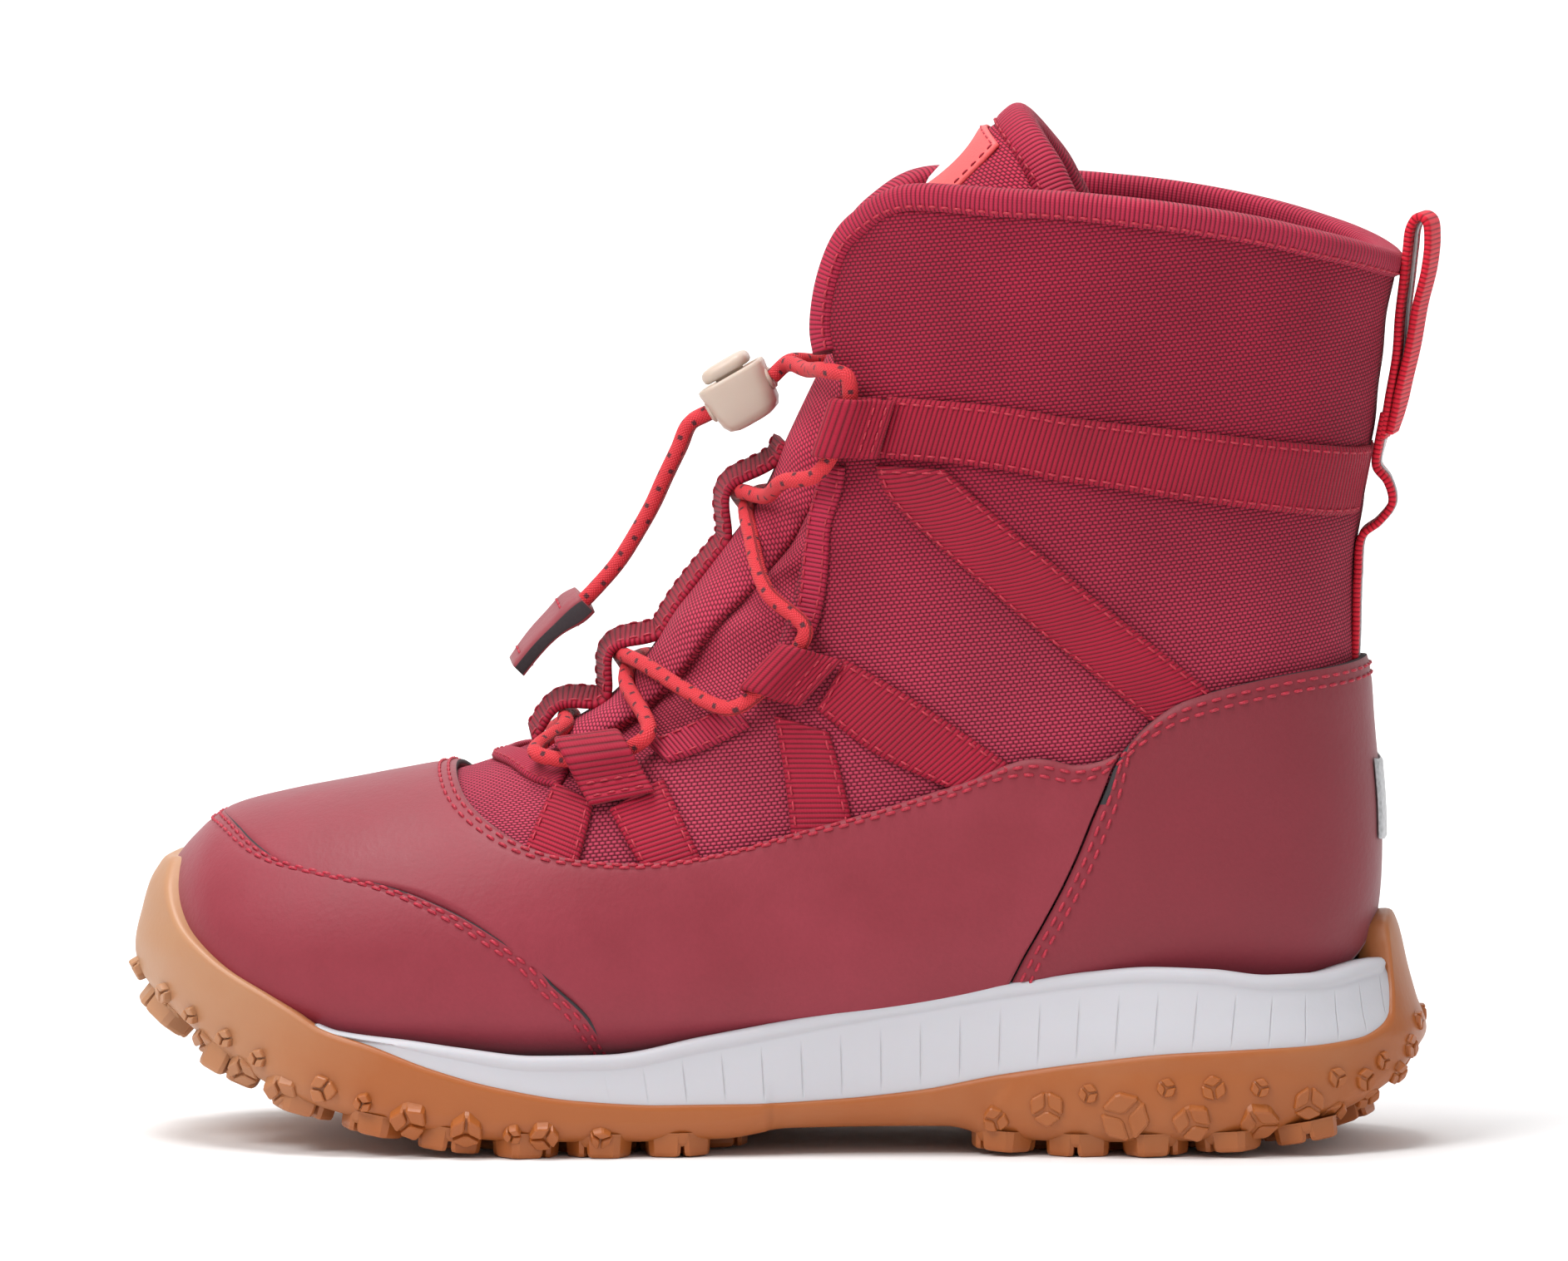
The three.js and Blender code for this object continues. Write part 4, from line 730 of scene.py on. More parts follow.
CANVAS_CLOTH = woven("canvas", (0.095, 0.004, 0.013), (0.405, 0.0155, 0.049))
TONGUE_CLOTH = woven("tongue_canvas", (0.12, 0.006, 0.018), (0.60, 0.036, 0.085))
TAPE = ribbed("webbing", (0.125, 0.0015, 0.0092), (0.345, 0.0034, 0.027))
BINDING_TAPE = ribbed("binding", (0.14, 0.005, 0.017), (0.43, 0.015, 0.052), pitch=0.72, depth=0.0002)
RED_TAPE = ribbed("red_webbing", (0.28, 0.004, 0.012), (0.68, 0.008, 0.03), pitch=0.75, depth=0.00018)
LEATHER_FACE = nubuck("leather", (0.225, 0.0082, 0.022), (0.31, 0.026, 0.048))
COUNTER_FACE = nubuck("heel_leather", (0.197, 0.005, 0.017), (0.243, 0.014, 0.03))
CUT_EDGE = plain("cut_edge", (0.045, 0.038, 0.042), 0.9, 2200, 0.0001, 0.4)
GUM = rubber("gum", (0.355, 0.098, 0.019), (0.435, 0.219, 0.112))
FOAM = foam("midsole_foam", (0.53, 0.525, 0.56))
LACE_CORD = braided("lace_cord", (0.74, 0.022, 0.036), (0.10, 0.004, 0.012))
LINING_PILE = fleece("lining", (0.40, 0.10, 0.14))
THREAD = stitched_thread("thread", (0.50, 0.012, 0.04))
IVORY = plain("ivory_plastic", (0.55, 0.44, 0.36), 0.38, 500, 0.00002, 0.05, Subsurface_Weight=0.1,
              Subsurface_Scale=0.002)
TAB_FACE = nubuck("tab_leather", (0.24, 0.028, 0.04), (0.3, 0.05, 0.065))
LABEL_RED = plain("label", (0.93, 0.115, 0.115), 0.5, 2400, 0.00006, 0.08)
LABEL_WHITE = plain("label_patch", (0.85, 0.84, 0.83), 0.5, 2400, 0.00005, 0.05)
REFLECTOR = reflective("reflector", (0.36, 0.36, 0.37), (0.62, 0.62, 0.64))
BADGE = plain("badge", (0.62, 0.012, 0.03), 0.35, 700, 0.00003, 0.08)
STEEL = plain("spring_steel", (0.55, 0.55, 0.55), 0.3, 900, 0.00001, 0.1, Metallic=1.0)
BOARD = plain("board", (0.45, 0.40, 0.32), 0.9, 1500, 0.0001, 0.2)
FLOOR = plain("floor", (0.86, 0.86, 0.86), 0.7, 300, 0.00001, 0.01)
stitches = Thread()


def finish_node(node, material):
    """Gives a CAD node that is kept a procedural finish."""
    for material_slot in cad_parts[node].material_slots:
        material_slot.material = material


for node in ("insole_board", "toe_puff", "heel_stiffener"):
    finish_node(node, BOARD)
finish_node("lock_spring", STEEL)

# ------------------------------------------------------------------ camera and light
CAMERA_TURN = math.radians(3.5)
CAMERA_RISE = math.radians(4.5)
CAMERA_AWAY = 3.0
CENTRE = Vector((-0.0002, 0.0, 0.0804))
SEEN_WIDTH = 0.2485
SENSOR = 36.0

camera = bpy.data.objects.new("camera", bpy.data.cameras.new("camera"))
bpy.context.scene.collection.objects.link(camera)
bpy.context.scene.camera = camera
camera.data.sensor_width = SENSOR
camera.data.lens = SENSOR * CAMERA_AWAY / SEEN_WIDTH
camera.data.clip_end = 50
away = Vector((math.sin(CAMERA_TURN) * math.cos(CAMERA_RISE), -math.cos(CAMERA_TURN) * math.cos(CAMERA_RISE),
               math.sin(CAMERA_RISE)))
camera.location = CENTRE + away * CAMERA_AWAY
camera.rotation_euler = away.to_track_quat("Z", "Y").to_euler()


def area_light(name, place_at, size, power, target=(0, 0, 0.07)):
    light = bpy.data.objects.new(name, bpy.data.lights.new(name, "AREA"))
    light.data.shape = "DISK"
    light.data.size = size
    light.data.energy = power
    light.location = place_at
    light.rotation_euler = (Vector(place_at) - Vector(target)).to_track_quat("Z", "Y").to_euler()
    bpy.context.scene.collection.objects.link(light)
    return light


def studio():
    """A pale sweep of floor and wall under soft light from above and in front."""
    depth, height, half, turn = 3.8, 3.0, 4.5, 0.5
    line = [(-4.5, 0.0), (depth - turn, 0.0)]
    for k in range(1, 9):
        angle = k / 8 * math.pi / 2
        line.append((depth - turn + turn * math.sin(angle), turn - turn * math.cos(angle)))
    line.append((depth, height))
    points = np.array([[(x, y, z) for y, z in line] for x in (-half, half)])
    mesh = bpy.data.meshes.new("floor")
    mesh.from_pydata(points.reshape(-1, 3).tolist(), [], grid_faces(2, len(line)))
    mesh.polygons.foreach_set("use_smooth", [True] * len(mesh.polygons))
    mesh.materials.append(FLOOR)
    floor = bpy.data.objects.new("floor", mesh)
    bpy.context.scene.collection.objects.link(floor)
    lights = [
        area_light("key", (-0.75, -0.9, 1.2), 0.7, 13),
        area_light("fill", (0.9, -1.2, 0.4), 1.0, 1.5),
        area_light("top", (-0.2, -0.05, 1.5), 0.8, 17),
        area_light("backdrop", (0.0, 1.5, 1.8), 1.6, 48, (0.0, 3.0, 0.2)),
    ]
    world = bpy.data.worlds.new("studio")
    world.use_nodes = True
    world.node_tree.nodes["Background"].inputs[0].default_value = (1, 1, 1, 1)
    world.node_tree.nodes["Background"].inputs[1].default_value = 0.55
    bpy.context.scene.world = world
    bpy.context.scene.view_settings.view_transform = "Standard"


studio()


# ------------------------------------------------------------------ edges of the upper's panels
# Side-view points (x, z) of the lateral face, near those of part.mjs; the medial face mirrors them.
CAP_SEAM = [(-83.5, 48.2), (-79, 45.6), (-74.7, 44.2), (-67.6, 43), (-60.5, 41.8), (-55, 40.3),
            (-47.2, 37.2), (-41, 33.7), (-34.5, 28.6), (-29.3, 23.9), (-25.6, 19.4), (-23.8, 16.4)]
VAMP_TOP = [(54.6, 63.6), (42.9, 62.8), (37, 61.6), (29.7, 58.6), (13.1, 53.3), (3.1, 50.5), (-4, 48.3),
            (-11.5, 46.6), (-19.1, 45.8), (-24.5, 45.8), (-31.1, 46.3), (-37.6, 47.8), (-43.6, 50.8),
            (-47.4, 53.6), (-49.4, 56)]
COUNTER_TOP = [(56.4, 64.4), (59.2, 67.9), (63.2, 70.9), (68, 72.7), (75.9, 74.6), (85, 76)]
COLLAR_FRONT = [(8.2, 126), (7.6, 130), (8.6, 137.3), (10.9, 143.3), (14.9, 147.4)]
COLLAR_TOP = [(20.5, 150.4), (37, 150), (52.8, 149), (63.9, 147.7), (76, 145.6), (88, 142.6)]
THROAT = [(-29.4, 58.4), (-24, 60.4), (-17, 63.8), (-9, 67.8), (-3.2, 72.5), (0.6, 79.5), (3, 87),
          (5.6, 97.5), (8.2, 108), (10.8, 120)]
FLANK = [(33.5, 21.8), (37.3, 27.2), (41.2, 33.8), (45, 40.3), (48.3, 46.9), (51, 53.5), (53.6, 60),
         (55.5, 64)]
SIDES = (("lateral", -1), ("medial", 1))


def flank(shift, count):
    return evenly(place([(x + shift, z) for x, z in FLANK]), count)


def stitch_edge(outer, edge, distances, pitch=STITCH_PITCH, radius=STITCH_RADIUS, trim=(0, None)):
    for distance in distances:
        line, outs = inset_line(outer, edge, distance)
        stitches.run(line[trim[0]:trim[1]], outward_of(line, outs)[trim[0]:trim[1]], pitch, radius=radius)


def groove(distances, width=0.5, depth=0.16, reach=6):
    """Relief that sinks along stitch rows and swells softly between the edge and the panel."""
    def relief(_, d, t):
        sunk = sum(np.exp(-((d - at) / width) ** 2) for at in distances)
        return -depth * sunk + 0.12 * np.clip(d / reach, 0, 1)
    return relief


def toe_cap():
    seam = over_top(place(CAP_SEAM), u_front(-87.2), 150)
    tip = np.stack([np.full(len(seam), 0.004), seam[:, 1]], axis=1)
    rows = np.concatenate([np.linspace(0, 0.94, 46), np.linspace(0.945, 1, 16)])[:, None, None]
    grid = tip * (1 - rows) + seam * rows
    _, outer = cloth_panel("toe_cap", skin, grid, UNDER_LEATHER, UNDER_LEATHER + LEATHER, LEATHER_FACE,
                           "toe_cap", round_edge=0.3, relief=groove((1.5, 3.0)), cut_edge=CUT_EDGE,
                           closed_edges=(False, True, False, False), edge_band=0.55)
    stitch_edge(outer, 1, (1.5, 3.0))


UNDER_CAP = 3.6                               # how far the vamp overlay runs on under the toe cap


def sunk_under_cap(points, d, t):
    """The vamp overlay dips under the toe cap's edge."""
    under = 1 - np.clip((t - UNDER_CAP + 0.6) / 2.2, 0, 1)
    smooth = under * under * (3 - 2 * under)
    at_seam = np.clip((-22 - points[..., 0]) / 8, 0, 1)
    return -1.25 * smooth * at_seam + groove((1.2, 2.7))(points, d, t)


def vamp_overlay():
    under = [(20, 18.6), (0, 17.0), (-20, 16.4)]
    seam = [(x - 0.47 * UNDER_CAP, z - 0.88 * UNDER_CAP) for x, z in CAP_SEAM[-2::-1]]
    lateral = flank(-GAP / 2, 40)
    mirrored = lateral * [1, -1]
    front = over_top(np.array([lateral[0].tolist(), *place(under + seam)])[::-1].tolist(),
                     u_front(-87.2 - UNDER_CAP), 260)
    top = over_top(np.array([lateral[-1].tolist(), *place(VAMP_TOP[1:])])[::-1].tolist(), u_front(-50.8), 260)
    grid = patch_grid(mirrored, lateral, front, top)
    _, outer = cloth_panel("vamp_overlay", skin, grid, UNDER_LEATHER, UNDER_LEATHER + LEATHER,
                           LEATHER_FACE, "vamp_overlay", round_edge=0.45, relief=sunk_under_cap,
                           cut_edge=CUT_EDGE, closed_edges=(False, True, False, False))
    stitch_edge(outer, 1, (1.2, 2.7))


def counter_overlay():
    under = place([(50, 22.4), (65, 23.6), (78, 25.6), (85, 28)])
    lateral = flank(GAP / 2, 44)
    bottom = round_heel([lateral[0].tolist(), *under], u_back(36), 170)
    top = round_heel([lateral[-1].tolist(), *place(COUNTER_TOP[1:])], u_back(77), 170)
    grid = patch_grid(lateral, np.array(medial(lateral)), bottom, top)
    _, outer = cloth_panel("heel_counter_overlay", skin, grid, UNDER_LEATHER, UNDER_LEATHER + COUNTER,
                           COUNTER_FACE, "heel_counter_overlay", round_edge=0.5,
                           relief=groove((1.3, 2.8)), cut_edge=CUT_EDGE,
                           closed_edges=(False, True, True, True), edge_band=0.5)
    for edge in (1, 2, 3):
        stitch_edge(outer, edge, (1.3, 2.8), trim=(0, None) if edge == 1 else (0, -2))


def soft_waves(points, size, wavelength=26.0):
    """Gentle unevenness of padded cloth, by place."""
    k = 2 * math.pi / wavelength
    x, y, z = points[..., 0], points[..., 1], points[..., 2]
    return size * (np.sin(k * x + 0.9 * np.sin(k * 0.7 * z)) * np.sin(k * 0.8 * z + 1.3)
                   + 0.5 * np.sin(1.9 * k * (x + z) + 0.7) * np.cos(k * y))


def quarter(name, side):
    inner = [(x + 1.2, z - 0.3) for x, z in COLLAR_FRONT]
    front = evenly(place([(-33.2, 43), *THROAT, *inner[:-1]]), 120)
    top = evenly([*place([(12.4, 143.6), (16.4, 147.2), *[(x + 0.2, z - 1.1) for x, z in COLLAR_TOP]]),
                  [u_back(138), 0.999]], 100)
    bottom = evenly([*place([(-33.2, 43), (-20, 40), (-5, 42), (15, 47), (35, 55), (52, 58), (70, 65)]),
                     [u_back(67), 0.999]], 100)
    back = evenly([[u_back(67), 0.999], [u_back(138), 0.999]], 120)
    front[-1] = top[0]
    grid = patch_grid(*(side_of(e, side) for e in (front, back, bottom, top)))

    def relief(points, d, t):
        return soft_waves(points, 0.22)
    cloth_panel(f"canvas_{name}", skin, grid, -CANVAS, 0.0, CANVAS_CLOTH, f"canvas_{name}", relief=relief,
                cloth=flat_cloth)


def vamp_cloth(points):
    """Millimetres over the cloth of the vamp: along the foot and down its side."""
    x, y, z = points[..., 0], points[..., 1], points[..., 2]
    return np.stack([x + 0.3 * z, 0.75 * np.abs(y) - 0.85 * z], axis=-1)


def vamp_canvas():
    front = over_top(place([(-56, 50), (-48, 46), (-34, 41)]), u_front(-60), 80)
    throat = over_top(place([(-35.5, 63.0), (-31, 61.8), (-27.6, 60.4)]), u_front(-37.0), 80)
    cloth_panel("vamp_canvas", skin, ruled_grid(front, throat, 30), -CANVAS, 0.0, CANVAS_CLOTH, "vamp_canvas",
                cloth=vamp_cloth)
    outside = over_top(place([(-41.5, 59.4), (-37.8, 57.8), (-33.4, 56.8)]), u_front(-45.5), 90)
    inside = over_top(place([(-38.8, 61.4), (-35.4, 60.6), (-31.6, 60)]), u_front(-42.0), 90)
    _, outer = cloth_panel("throat_trim", skin, ruled_grid(outside, inside, 10), STRAP_LIFT - 0.1,
                           STRAP_LIFT + 0.9, BINDING_TAPE, "throat_trim", round_edge=0.4)
    stitch_edge(outer, 0, (0.8,), pitch=2.0, radius=0.18)


def lining():
    """The soft lining inside the shaft, down to the footbed."""
    throat = place([(-39, 59.6), *[(x + 6, z - 2) for x, z in THROAT],
                    *[(x + 5, z) for x, z in COLLAR_FRONT[:3]], (19, 144)])
    throat_u = np.array([u_front(-43.8)] + [u for u, _ in throat])
    throat_v = np.array([0.008] + [v for _, v in throat])
    collar = np.array([*place([(19, 144), *[(x, z - 3) for x, z in COLLAR_TOP[1:]]]), [u_back(136), 1]])
    a = np.linspace(0, 1, 121)[None]
    b = np.linspace(0, 1, 71)[:, None]
    v0 = np.maximum(0.008, np.interp(b * 0.93, throat_u, throat_v))
    v = v0 + (2 - 2 * v0) * a
    u = 0.01 + b * (np.interp(np.where(v <= 1, v, 2 - v), collar[:, 1], collar[:, 0]) - 0.01)
    w0 = np.maximum(0.008, np.interp(u, throat_u, throat_v))
    grid = np.stack([u, w0 + (2 - 2 * w0) * a], axis=-1)[4:]
    outer = -CANVAS - LINING_GAP
    cloth_panel("lining", skin, grid, outer - LINING, outer, LINING_PILE, "lining", round_edge=0.3)


def footbed():
    grid = mesh_grid(0.12, 0.6, 70, 0.82, 1.18, 40)
    cloth_panel("footbed", skin, grid, -7.7, -4.7, LINING_PILE, "footbed", round_edge=1.2)


# ------------------------------------------------------------------ webbing
STRAPS = [
    ([(18.9, 119.5), (36.3, 118.2), (62.7, 114.7), (82.5, 112), (93, 110.8)],
     [(16.7, 109.9), (29.7, 109.1), (49.5, 106.1), (62.7, 103.9), (75.9, 101.9), (91, 100.3)]),
    ([(27.8, 108.2), (48, 90.8), (70.6, 71.8)], [(17, 108.6), (18.6, 104.2), (38, 86.5), (61.6, 67.2)]),
    ([(12, 78), (23.1, 71.8), (40.6, 60.0)], [(7.6, 70), (17.9, 62.8), (31.6, 56.4)]),
    ([(0.9, 68.9), (3.9, 47.6)], [(9.6, 66.6), (13.8, 50.4)]),
    ([(-34, 57.4), (-39.3, 45.4)], [(-27.6, 54.8), (-30.3, 43.4)]),
    ([(-25, 53.8), (-18.4, 42.9)], [(-16.6, 58.8), (-8.9, 43.8)]),
]
TRIMS = {
    "upper": ([(8.1, 108.4), (5.6, 96), (3.4, 82.2)], [(12, 108.2), (9.4, 96), (6.9, 81.4)]),
    "lower": ([(-5.6, 71), (-12.5, 67.1), (-19.6, 63.9)], [(-2.8, 67.2), (-10, 63.4), (-16, 61.2)]),
}
LOOPS = [
    ((12.4, 119.4), (9.4, 110), (20.4, 119), (18.2, 109.6)),
    ((4, 79.6), (-2.8, 71.8), (12.8, 77.6), (8.4, 69.6)),
    ((-22, 63.2), (-32.6, 60.6), (-19, 58.6), (-27.8, 53.6)),
]
BORE = 2.3                                   # lace centre to the middle of the tape round it
LACE_UP = GAP + WEBBING / 2 + BORE           # height of the lace centre over the canvas in a loop
STRAP_LIFT = 0.18                            # the sewn straps lie this far over the canvas


def selvage(_, d, t):
    """Sinks the tape a little along its stitched edges."""
    return -0.14 * np.exp(-((d - 1.0) / 0.45) ** 2)


def strap(index, name, side):
    """A sewn webbing strap; the first three also have stitches across their front end."""
    a, b = (np.array(evenly([[u, min(v, 0.945)] for u, v in place(edge)], 120)) for edge in STRAPS[index])
    grid = ruled_grid(side_of(a, side), side_of(b, side), 18)
    node = f"strap_{index + 1}_{name}"
    _, outer = cloth_panel(node, skin, grid, STRAP_LIFT, STRAP_LIFT + WEBBING, TAPE, node, round_edge=0.45,
                           relief=selvage)
    for edge in (0, 1):
        stitch_edge(outer, edge, (1.0,), pitch=2.1, radius=0.2)
    if index < 3:
        stitch_edge(outer, 2, (1.0,), pitch=2.1, radius=0.2)


def trim(which, name, side):
    a, b = (evenly(place(edge), 70) for edge in TRIMS[which])
    node = f"trim_{which}_{name}"
    grid = ruled_grid(side_of(a, side), side_of(b, side), 10)
    _, outer = cloth_panel(node, skin, grid, STRAP_LIFT, STRAP_LIFT + 1.0, BINDING_TAPE, node, round_edge=0.4)
    for edge in (0, 1):
        stitch_edge(outer, edge, (0.8,), pitch=2.0, radius=0.18)


def webbing_along(name, line, across, up, material, body):
    """A 10 mm tape swept along a line."""
    section = tape_section(WEBBING_WIDTH, WEBBING)
    uv = run_and_round(line, section[:, 0] + WEBBING_WIDTH / 2)
    return make(name, sweep(line, across, up, section), ring_faces(len(line), len(section)), material, body,
                name, uv)


def over(side, x, z, out):
    u, v = locate(x, z)
    return skin(u, v if side < 0 else 2 - v, out)


def loop_point(index, side, q, e, out):
    """q: millimetres behind the fold edge, e: across the tape from its upper edge (0 to 1)."""
    fold_up, fold_low, back_up, back_low = (np.array(p) for p in LOOPS[index])
    fold = fold_up * (1 - e) + fold_low * e
    back = back_up * (1 - e) + back_low * e
    x, z = fold + (back - fold) * q / np.linalg.norm(back - fold)
    return over(side, x, z, out)


def lace_loop(index, name, side):
    """Tape folded round the lace and stitched down behind it."""
    middle = 1.9
    angles = math.pi * (1.5 - np.linspace(0, 1.15, 22))
    turn = np.stack([middle + BORE * np.cos(angles), LACE_UP + BORE * np.sin(angles)], axis=1)
    line = np.vstack([[[5.8, GAP + WEBBING / 2 - 0.2], [3.6, GAP + WEBBING / 2 - 0.1]], turn,
                      [[4.8, LACE_UP - 0.1], [5.9, GAP + WEBBING * 1.5 + 0.35],
                       [6.9, GAP + WEBBING * 1.5 + 0.05], [8.2, GAP + WEBBING * 1.5]]])
    line = evenly(line, 56)
    tangent = unit(np.gradient(line, axis=0))
    normal = np.stack([-tangent[:, 1], tangent[:, 0]], axis=1)
    run = travelled(line)
    section = tape_section(1.0, WEBBING / WEBBING_WIDTH)[:, 0] + 0.5
    rise = tape_section(WEBBING_WIDTH, WEBBING)[:, 1]
    rings, uv = [], []
    for (q, out), n, s in zip(line, normal, run):
        rings.append([loop_point(index, side, q + n[0] * h, float(e), out + n[1] * h)
                      for e, h in zip(section, rise)])
        uv.append([(s, e * WEBBING_WIDTH) for e in section])
    node = f"lace_loop_{index + 1}_{name}"
    make(node, np.array(rings), ring_faces(len(rings), len(section)), TAPE, node=node, uv=uv)
    for q in (5.7, 7.4):
        top = np.interp(q, line[-16:, 0], line[-16:, 1]) + WEBBING / 2
        row = np.array([loop_point(index, side, q, e, top) for e in np.linspace(0.08, 0.92, 12)])
        above = np.array([loop_point(index, side, q, e, top + 1) for e in np.linspace(0.08, 0.92, 12)])
        stitches.run(row, unit(above - row), 1.9, radius=0.2)


# ------------------------------------------------------------------ bindings
def roll(name, stops, outs, width, thick, body):
    """Binding tape folded over an edge along stops: a rounded, slightly pinched section."""
    tangent = unit(np.gradient(stops, axis=0))
    up = unit(outs - tangent * np.sum(outs * tangent, axis=1, keepdims=True))
    wide = np.cross(tangent, up)
    section = squared(28, width / 2, thick / 2, 0.72)
    uv = run_and_round(stops, travelled(section))
    rings = sweep(stops, wide, up, section)
    return make(name, rings, ring_faces(len(stops), len(section)), BINDING_TAPE, body, name, uv), wide, up


def collar_binding():
    lateral = place([*COLLAR_FRONT, *COLLAR_TOP])
    path = evenly([*lateral, [u_back(139), 1], *medial(lateral)[::-1]], 420)
    middle = -(CANVAS + LINING_GAP + LINING) / 2
    stops = skin(path[:, 0], path[:, 1], middle)
    _, wide, up = roll("collar_binding", stops, facing(skin, path), 4.6, 5.9, "boot")
    inward = -wide if np.dot(wide[200], [0, 0, 1]) > 0 else wide
    row = stops + up * 2.75 + inward * 1.35
    stitches.run(row, up, 2.0, radius=0.22)


# ------------------------------------------------------------------ tongue
TONGUE_LINE = [
    (-39.5, 63.0, 9.5, 2.5), (-33.0, 66.2, 11.5, 4.0), (-26.4, 70.6, 13.0, 5.5), (-20.4, 77.6, 14.0, 7.0),
    (-15.6, 85.4, 14.8, 8.0), (-10.8, 91.6, 15.2, 9.0), (-6.2, 97.2, 15.4, 9.5), (-2.0, 103.8, 15.8, 10.0),
    (1.6, 112.0, 16.4, 10.5), (6.6, 122.4, 18.0, 13.0), (12.5, 133.4, 20.0, 17.0), (18.0, 142.6, 21.0, 22.0),
    (24.0, 150.8, 21.0, 26.0), (31.0, 158.2, 19.5, 27.0), (36.0, 162.8, 16.5, 22.0),
]
TONGUE_THICK = 5.0
MM_ALONG = 118                               # millimetres per unit of s and per unit of f at the label
MM_ACROSS = 30
SPREAD_ANGLE = 1.45
TOP_FROM = 0.74
ARCHES = [(0.395, 0.54, 5.0), (0.13, 0.24, 5.0), (0.01, 0.125, 3.2)]


def tongue(s, f, out=0.0):
    """s along the tongue, f across it (-1 lateral edge, 1 medial edge), out over its front face."""
    s, f, out = np.broadcast_arrays(*(np.asarray(k, float) for k in (s, f, out)))
    e = 0.01

    def point(t, g):
        x, z, half, depth = np.moveaxis(spline(TONGUE_LINE, t), -1, 0)
        before, after = spline(TONGUE_LINE, t - e), spline(TONGUE_LINE, t + e)
        dx, dz = after[..., 0] - before[..., 0], after[..., 1] - before[..., 1]
        length = np.hypot(dx, dz)
        back = depth * (1 - np.cos(g * SPREAD_ANGLE))
        return np.stack([x + back * dz / length, half * np.sin(g * SPREAD_ANGLE) + bend(x),
                         z - back * dx / length], axis=-1)
    ds = point(np.minimum(s + e, 1), f) - point(np.maximum(s - e, 0), f)
    df = point(s, f + e) - point(s, f - e)
    return point(s, f) - unit(np.cross(df, ds)) * out[..., None]


def tongue_blend(piece):
    """Bakes the piece's placement into its mesh."""
    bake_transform(piece)


def pad(name, s0, s1, half, rows, columns, relief, last=None):
    """A stuffed pad over the tongue's shape, rounded off at its sides. last(f) trims its top."""
    b = np.linspace(0, 1, rows)[:, None]
    a = np.linspace(0, 1, columns)[None]
    f = (2 * half * a - half) * np.ones_like(b)
    end = s1 if last is None else last(f)
    s = s0 + (end - s0) * b * np.ones_like(f)
    grid = np.stack([s, f], axis=-1)
    piece, _ = cloth_panel(name, tongue, grid, -TONGUE_THICK, 0.0, TONGUE_CLOTH, name, None,
                           round_edge=1.0, relief=relief)
    tongue_blend(piece)


def tongue_body():
    def relief(points, d, t):
        fold = np.sin(points[..., 2] * 0.42 + 1.2 * np.sin(points[..., 1] * 0.16)) * 0.35
        centre = np.exp(-(points[..., 1] / 5.5) ** 2)
        return (fold * np.clip(d / 5, 0, 1) + soft_waves(points, 0.18, 17)) * (1 - centre)
    pad("tongue_body", 0.01, TOP_FROM + 0.02, 0.98, 150, 64, relief)


def tongue_top():
    half = 0.86
    pad("tongue_top", TOP_FROM - 0.02, 0.965, half, 60, 60,
        lambda points, d, t: 0.35 * np.clip(d / 6, 0, 1) + soft_waves(points, 0.1, 15),
        lambda f: 0.972 - 0.05 * np.abs(f / half) ** 4)


def tongue_binding():
    f = 0.97
    half = [(TOP_FROM - 0.03, f), (0.82, f), (0.9, f), (0.955, 0.93), (0.985, 0.75), (0.995, 0.45)]
    path = evenly([*[(s, -w) for s, w in half], (0.997, 0), *half[::-1]], 300)
    stops = tongue(path[:, 0], path[:, 1], -TONGUE_THICK / 2)
    piece, wide, up = roll("tongue_binding", stops, facing(tongue, path), 6.4, 6.2, None)
    inward = wide if np.dot(wide[150], tongue(0.9, 0.0) - tongue(1.0, 0.0)) > 0 else -wide
    thread = Thread()
    thread.run(stops + up * 2.85 + inward * 2.0, up, 2.0, radius=0.2)
    seam = thread.finish("tongue_binding_stitches", THREAD, None)
    for made in (piece, seam):
        tongue_blend(made)


def label_patch():
    """The plain white round patch on the label."""
    s, radius, sides, rings = 0.9, 5.2, 48, 5
    points = [tongue(s, 0.0, 1.35)]
    for r in np.linspace(0, 1, rings + 1)[1:]:
        for w in np.linspace(0, 2 * math.pi, sides, endpoint=False):
            along = s + r * radius * math.cos(w) / MM_ALONG
            points.append(tongue(along, r * radius * math.sin(w) / MM_ACROSS, 1.02 if r == 1 else 1.32))
    faces = [[0, 1 + k, 1 + (k + 1) % sides] for k in range(sides)]
    faces += [[1 + v for v in face] for face in ring_faces(rings, sides, False)]
    return make("tongue_label_patch", np.array(points), faces, LABEL_WHITE, None)


def tongue_label():
    """A red woven label, stitched on all four edges."""
    piece, outer = cloth_panel("tongue_label", tongue, mesh_grid(0.85, 0.955, 24, -0.36, 0.36, 30), 0.3, 1.0,
                               LABEL_RED, "tongue_label", None, round_edge=0.3)
    patch = label_patch()
    away = tongue(0.9, 0.0, 1.0) - tongue(0.9, 0.0)
    thread = Thread()
    for edge in range(4):
        line, outs = inset_line(outer, edge, 0.9)
        outs = outs if np.dot(outs[len(outs) // 2], away) > 0 else -outs
        thread.run(line[1:-1], outs[1:-1], 1.8, radius=0.15)
    seam = thread.finish("tongue_label_stitches", THREAD, None)
    for made in (piece, patch, seam):
        tongue_blend(made)


def arch_height(s):
    for low, high, height in ARCHES:
        if low < s < high:
            return (height - 0.15) * math.sin(math.pi * (s - low) / (high - low)) ** 1.3
    return 0.0


